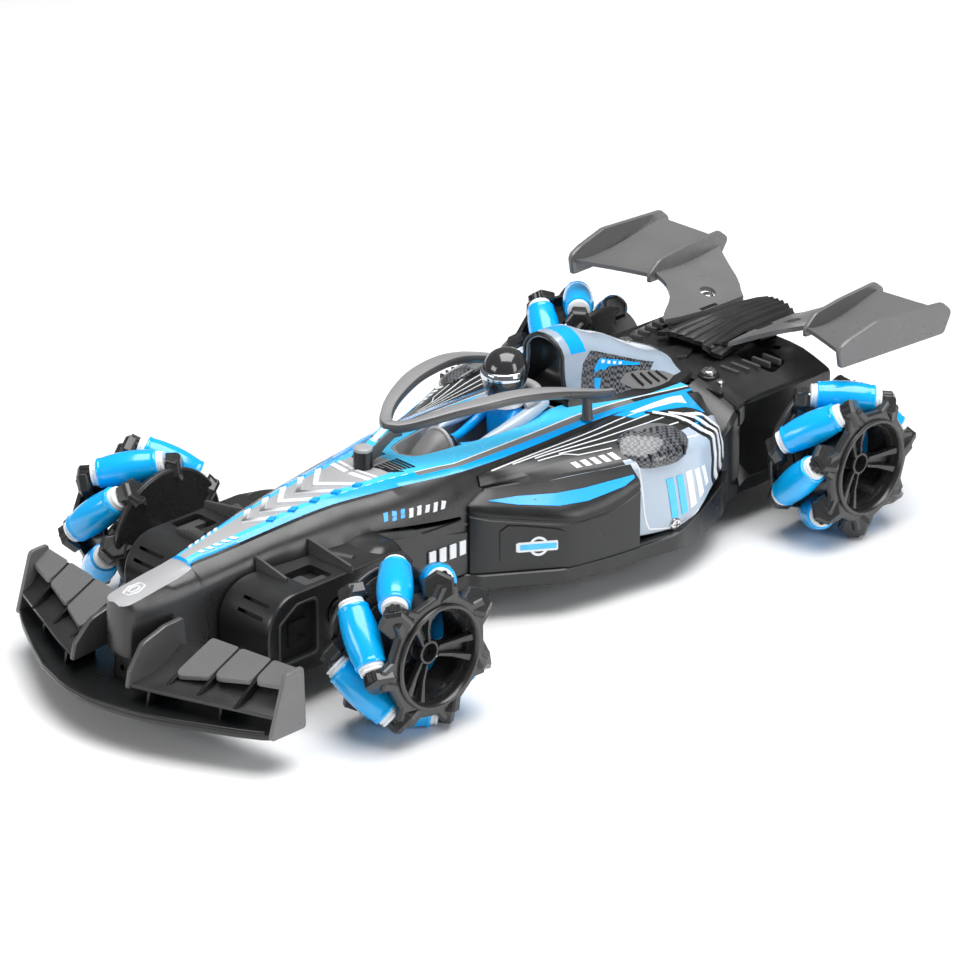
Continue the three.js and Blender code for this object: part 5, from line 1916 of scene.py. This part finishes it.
def wing_half():
    saddle_rows = [(12.6, 136.5, 156.6, 57.6), (15.6, 116.5, 158.6, 58.3), (18, 118.6, 160.6, 59.2),
                   (22, 125.4, 163, 60.6), (27, 131.4, 165.2, 62.2), (33, 134.6, 168, 64.2),
                   (38.6, 135, 171, 66.4)]
    saddle = Shape()
    rings = []
    for x, front, rear, z in smooth_rows(saddle_rows, 2):
        top = []
        for k in range(9):
            t = k / 8
            rise = 1.6 * t * (x - 12) / 26 - 1.4 * math.sin(math.pi * t) * (x - 12) / 26
            top.append((x, front + (rear - front) * t, z + rise))
        rings.append(slab(top, 1.8))
    saddle.loft(rings)
    seat_cut = Shape().spin([(56, 3.1), (70, 3.1)], (20.8, 145.7, 0), (0, 0, 1), 24)
    plane = Shape()
    rows = [(38.4, 132.6, 171, 66), (45, 129.6, 170.4, 66.6), (52, 126.4, 169.8, 67), (59, 123, 169.2, 67.4),
            (65.6, 119.8, 168.8, 67.8)]
    rings = []
    for x, front, rear, z in rows:
        top = []
        for k in range(13):
            t = k / 12
            top.append((x, front + (rear - front) * t,
                        z - 3 * math.sin(math.pi * t ** 0.8) * (1 - t * 0.4) + 4.2 * t))
        rings.append(slab(top, 1.7))
    plane.loft(rings)
    outline = rounded([(118.8, 61.9), (117.4, 69.6), (122.6, 72), (136.7, 75.6), (171.4, 73.4),
                       (176.2, 69.4),
                       (172.4, 61.4)], [1.6, 3, 8, 8, 3.4, 2.6, 2.4], 5)
    outer = Shape()
    rings = []
    for out, shrink in ((0, 0.975), (0.5, 1), (1.6, 1), (2.1, 0.975)):
        rings.append([(64.4 + out + (y - 118) * 0.062, 147 + (y - 147) * (1 - (1 - shrink) * 0.6),
                       68 + (z - 68) * shrink) for y, z in outline])
    outer.loft(rings)
    outline = rounded([(131.6, 62.4), (131.6, 65.8), (137.2, 70.2), (151, 72), (170.6, 73.2), (176, 69.2),
                       (172, 63.6)],
                      [1, 3, 6, 8, 3, 2.4, 2], 5)
    inner = Shape()
    rings = []
    for out, shrink in ((0, 0.97), (0.4, 1), (1.3, 1), (1.7, 0.97)):
        rings.append([(37.4 + out, 153 + (y - 153) * (1 - (1 - shrink) * 0.6), 68 + (z - 68) * shrink)
                      for y, z in outline])
    inner.loft(rings)
    return saddle, seat_cut, plane, outer, inner


def rear_wing():
    """Two halves on saddles, joined by a bridge."""
    saddle, seat_cut, plane, outer, inner = wing_half()
    pair("wing_saddle", saddle, "satin", "wing_plastic", cuts=[seat_cut], edge=0.3, smooth=45)
    pair("rear_wing_plane", plane, "satin", "wing_plastic", edge=0.2, smooth=50)
    pair("rear_wing_outer_plate", outer, "satin", "wing_plastic", smooth=30)
    pair("rear_wing_inner_plate", inner, "satin", "wing_plastic", smooth=30)
    bridge = Shape().box(-16, 16, 134, 143, 52.4, 54)
    for sign in (1, -1):
        bridge.box(sign * 13, sign * 16, 134, 143, 52.6, 58)
    piece("rear_wing_bridge", bridge, "black", "wing_plastic", ("rear_wing",), edge=0.3)
    screw = Shape().spin([(56.4, 2.3), (58.6, 2.3), (59.2, 1.8), (59.3, 0.6)], (20.8, 145.7, 0), (0, 0, 1),
                         24)
    slots = cross(20.8, 145.7, 1.8, 58.7, 62)
    pair("saddle_screw", screw, "steel", "screw_steel", cuts=slots, edge=0.1)


rear_wing()


# ---- printed marks of no meaning, where the car carries its graphics -----------------------------


def bars(skin, rows, lean, lift=0.3):
    """Slanted bars on a skin. A row is (y, low s, high s, length along y)."""
    made = Shape()
    for y, low, high, length in rows:
        made.take(skin.band([(y, low), (y + length, low)], [(y + lean, high), (y + length + lean, high)],
                            lift=lift,
                            pieces=2))
    return made


def nose_marks():
    """Bars and rings on the nose."""
    nose = bars(body_skin, [(-124 + 3 * k, 1.2, 2.9 + 0.1 * k, 1.5) for k in range(5)], 1.4)
    pair("nose_bars", nose, "white", "stripe_white")
    ring = Shape()
    for radius in (2.6, 1.4):
        path = [Vector((radius * math.cos(a), -149 + 1.6 * radius * math.sin(a), 0)) for a in
                [2 * math.pi * k / 6 for k in range(7)]]
        for point in path:
            point.z = read(TOP_Z, point.y) + 0.05 - abs(point.x) * 0.08
        ring.tube(path, 0.32, 6)
    piece("nose_tip_rings", ring, "white", "stripe_white")
    front_bar = bars(body_skin, [(-57, 0.1, 1.2, 2.2), (-53.4, 0.1, 1.1, 1.2)], 1.2)
    piece("nose_rear_bars", front_bar.both(), "white", "stripe_white")


def pod_marks():
    """Bars on the pods."""
    blue_bars = bars(pod_skin, [(44, 7.6, 9.1, 3), (48.6, 7.6, 9.1, 3)], 2.4)
    pair("pod_flank_bars_blue", blue_bars, "light_cyan", "stripe_blue")
    white_bars = bars(pod_skin, [(53.2, 7.6, 9.1, 3), (57.8, 7.7, 9, 2.4), (61.6, 7.8, 8.9, 1.8)], 2.4)
    pair("pod_flank_bars_white", white_bars, "white", "stripe_white")
    slant = bars(pod_skin, [(13 + 3.4 * k, 3.9, 4.8, 2) for k in range(5)], 0.8, lift=0.2)
    pair("pod_top_bars", slant, "white", "stripe_white")


def sill_marks():
    """A blank bar in a ring on each sill."""
    badge = Shape().loft(on_sill([(0.09, 25.2, 28), (0.1, 24.8, 28.4), (0.26, 24.8, 28.4),
                                  (0.27, 25.2, 28)], 0.66, 0.4))
    pair("sill_badge_bar", badge, "white", "stripe_white")
    inner_bar = Shape().loft(on_sill([(0.105, 25.6, 27.6), (0.255, 25.6, 27.6)], 0.78, 0.4))
    pair("sill_badge_core", inner_bar, "light_cyan", "stripe_blue")
    disc = []
    for c, s in sweep(0, 360, 20):
        fraction, inside = 0.18 + 0.04 * c, 0.18 + 0.03 * c
        outer_point, inner_point = 26.6 + 3.6 * s, 26.6 + 2.7 * s
        disc.append([sill_face(fraction, outer_point, 0.6), sill_face(inside, inner_point, 0.6),
                     sill_face(inside, inner_point, -0.4), sill_face(fraction, outer_point, -0.4)])
    pair("sill_badge_ring", Shape().loft(disc, caps=(False, False)), "white", "stripe_white")


def printed_marks():
    """Bars, rings and a blank badge, which spell nothing."""
    nose_marks()
    pod_marks()
    sill_marks()


printed_marks()

# ---- CAD nodes that stay ----------------------------------------------------------------------

CARRIED = {"battery_pack": "battery", "control_board": "board", "battery_door": "black",
           "power_switch": "black"}
for wheel_name in WHEELS:
    CARRIED[wheel_name.replace("_wheel", "_gear_motor")] = "motor"


def dress(node, look, edge):
    """Gives a CAD node that stays its material and a rounded edge."""
    obj = frame["nodes"][node]
    obj.data.materials.clear()
    obj.data.materials.append(M[look])
    bevel(obj, edge)


for node_name, node_object in frame["nodes"].items():
    if node_object.hide_render:
        continue
    dress(node_name, CARRIED.get(node_name, "charcoal"), 0.3)


# ---- stage, lights and camera -----------------------------------------------------------------


def floor():
    """A pale floor just under the lowest point of the car."""
    mesh = bpy.data.meshes.new("floor")
    reach = 6.0
    gap = 0.0002
    height = cad_low.z - gap
    corners = [(-reach, -reach, height), (reach, -reach, height), (reach, reach, height),
               (-reach, reach, height)]
    mesh.from_pydata(corners, [], [(0, 1, 2, 3)])
    look = Look("pale_floor", (0.96, 0.96, 0.96), 0.7)
    look.tint(look.noise(3, 2), 0.01)
    mesh.materials.append(look.material)
    obj = bpy.data.objects.new("floor", mesh)
    bpy.context.scene.collection.objects.link(obj)


def area_light(name, place, aim, size, power):
    """A soft box at a place, turned to face a point."""
    data = bpy.data.lights.new(name, "AREA")
    data.energy = power
    data.shape = "RECTANGLE"
    data.size, data.size_y = size
    obj = bpy.data.objects.new(name, data)
    obj.location = place
    obj.rotation_euler = (Vector(aim) - Vector(place)).to_track_quat("-Z", "Y").to_euler()
    bpy.context.scene.collection.objects.link(obj)


def world():
    """Plain white light from all round."""
    made = bpy.data.worlds.new("studio")
    bpy.context.scene.world = made
    made.use_nodes = True
    back = made.node_tree.nodes["Background"]
    back.inputs["Color"].default_value = (1, 1, 1, 1)
    back.inputs["Strength"].default_value = 0.2


def camera(middle):
    """Looks at the car's front left corner from a little above, as in a product shot."""
    azimuth = math.radians(45.34)
    elevation = math.radians(23.98)
    distance = 1.2659
    aim = middle + Vector((0.0052, -0.0011, -0.0030))
    flat = math.cos(elevation)
    away = Vector((math.sin(azimuth) * flat, -math.cos(azimuth) * flat, math.sin(elevation)))
    data = bpy.data.cameras.new("camera")
    data.lens = 137.7
    data.sensor_width = 36
    obj = bpy.data.objects.new("camera", data)
    obj.location = aim + away * distance
    obj.rotation_euler = (-away).to_track_quat("-Z", "Y").to_euler()
    bpy.context.scene.collection.objects.link(obj)
    bpy.context.scene.camera = obj


def studio():
    """Floor, soft lights and the camera."""
    car_middle = (cad_low + cad_high) / 2
    floor()
    world()
    area_light("top_softbox", (0.1, 0.1, 1.3), car_middle, (1.2, 1.2), 26)
    area_light("left_softbox", (1.4, 0.3, 0.55), car_middle, (0.4, 0.9), 6)
    area_light("front_softbox", (-0.5, -1.5, 0.7), car_middle, (0.9, 0.4), 6)
    camera(car_middle)
    bpy.context.scene.view_settings.view_transform = "Standard"


studio()
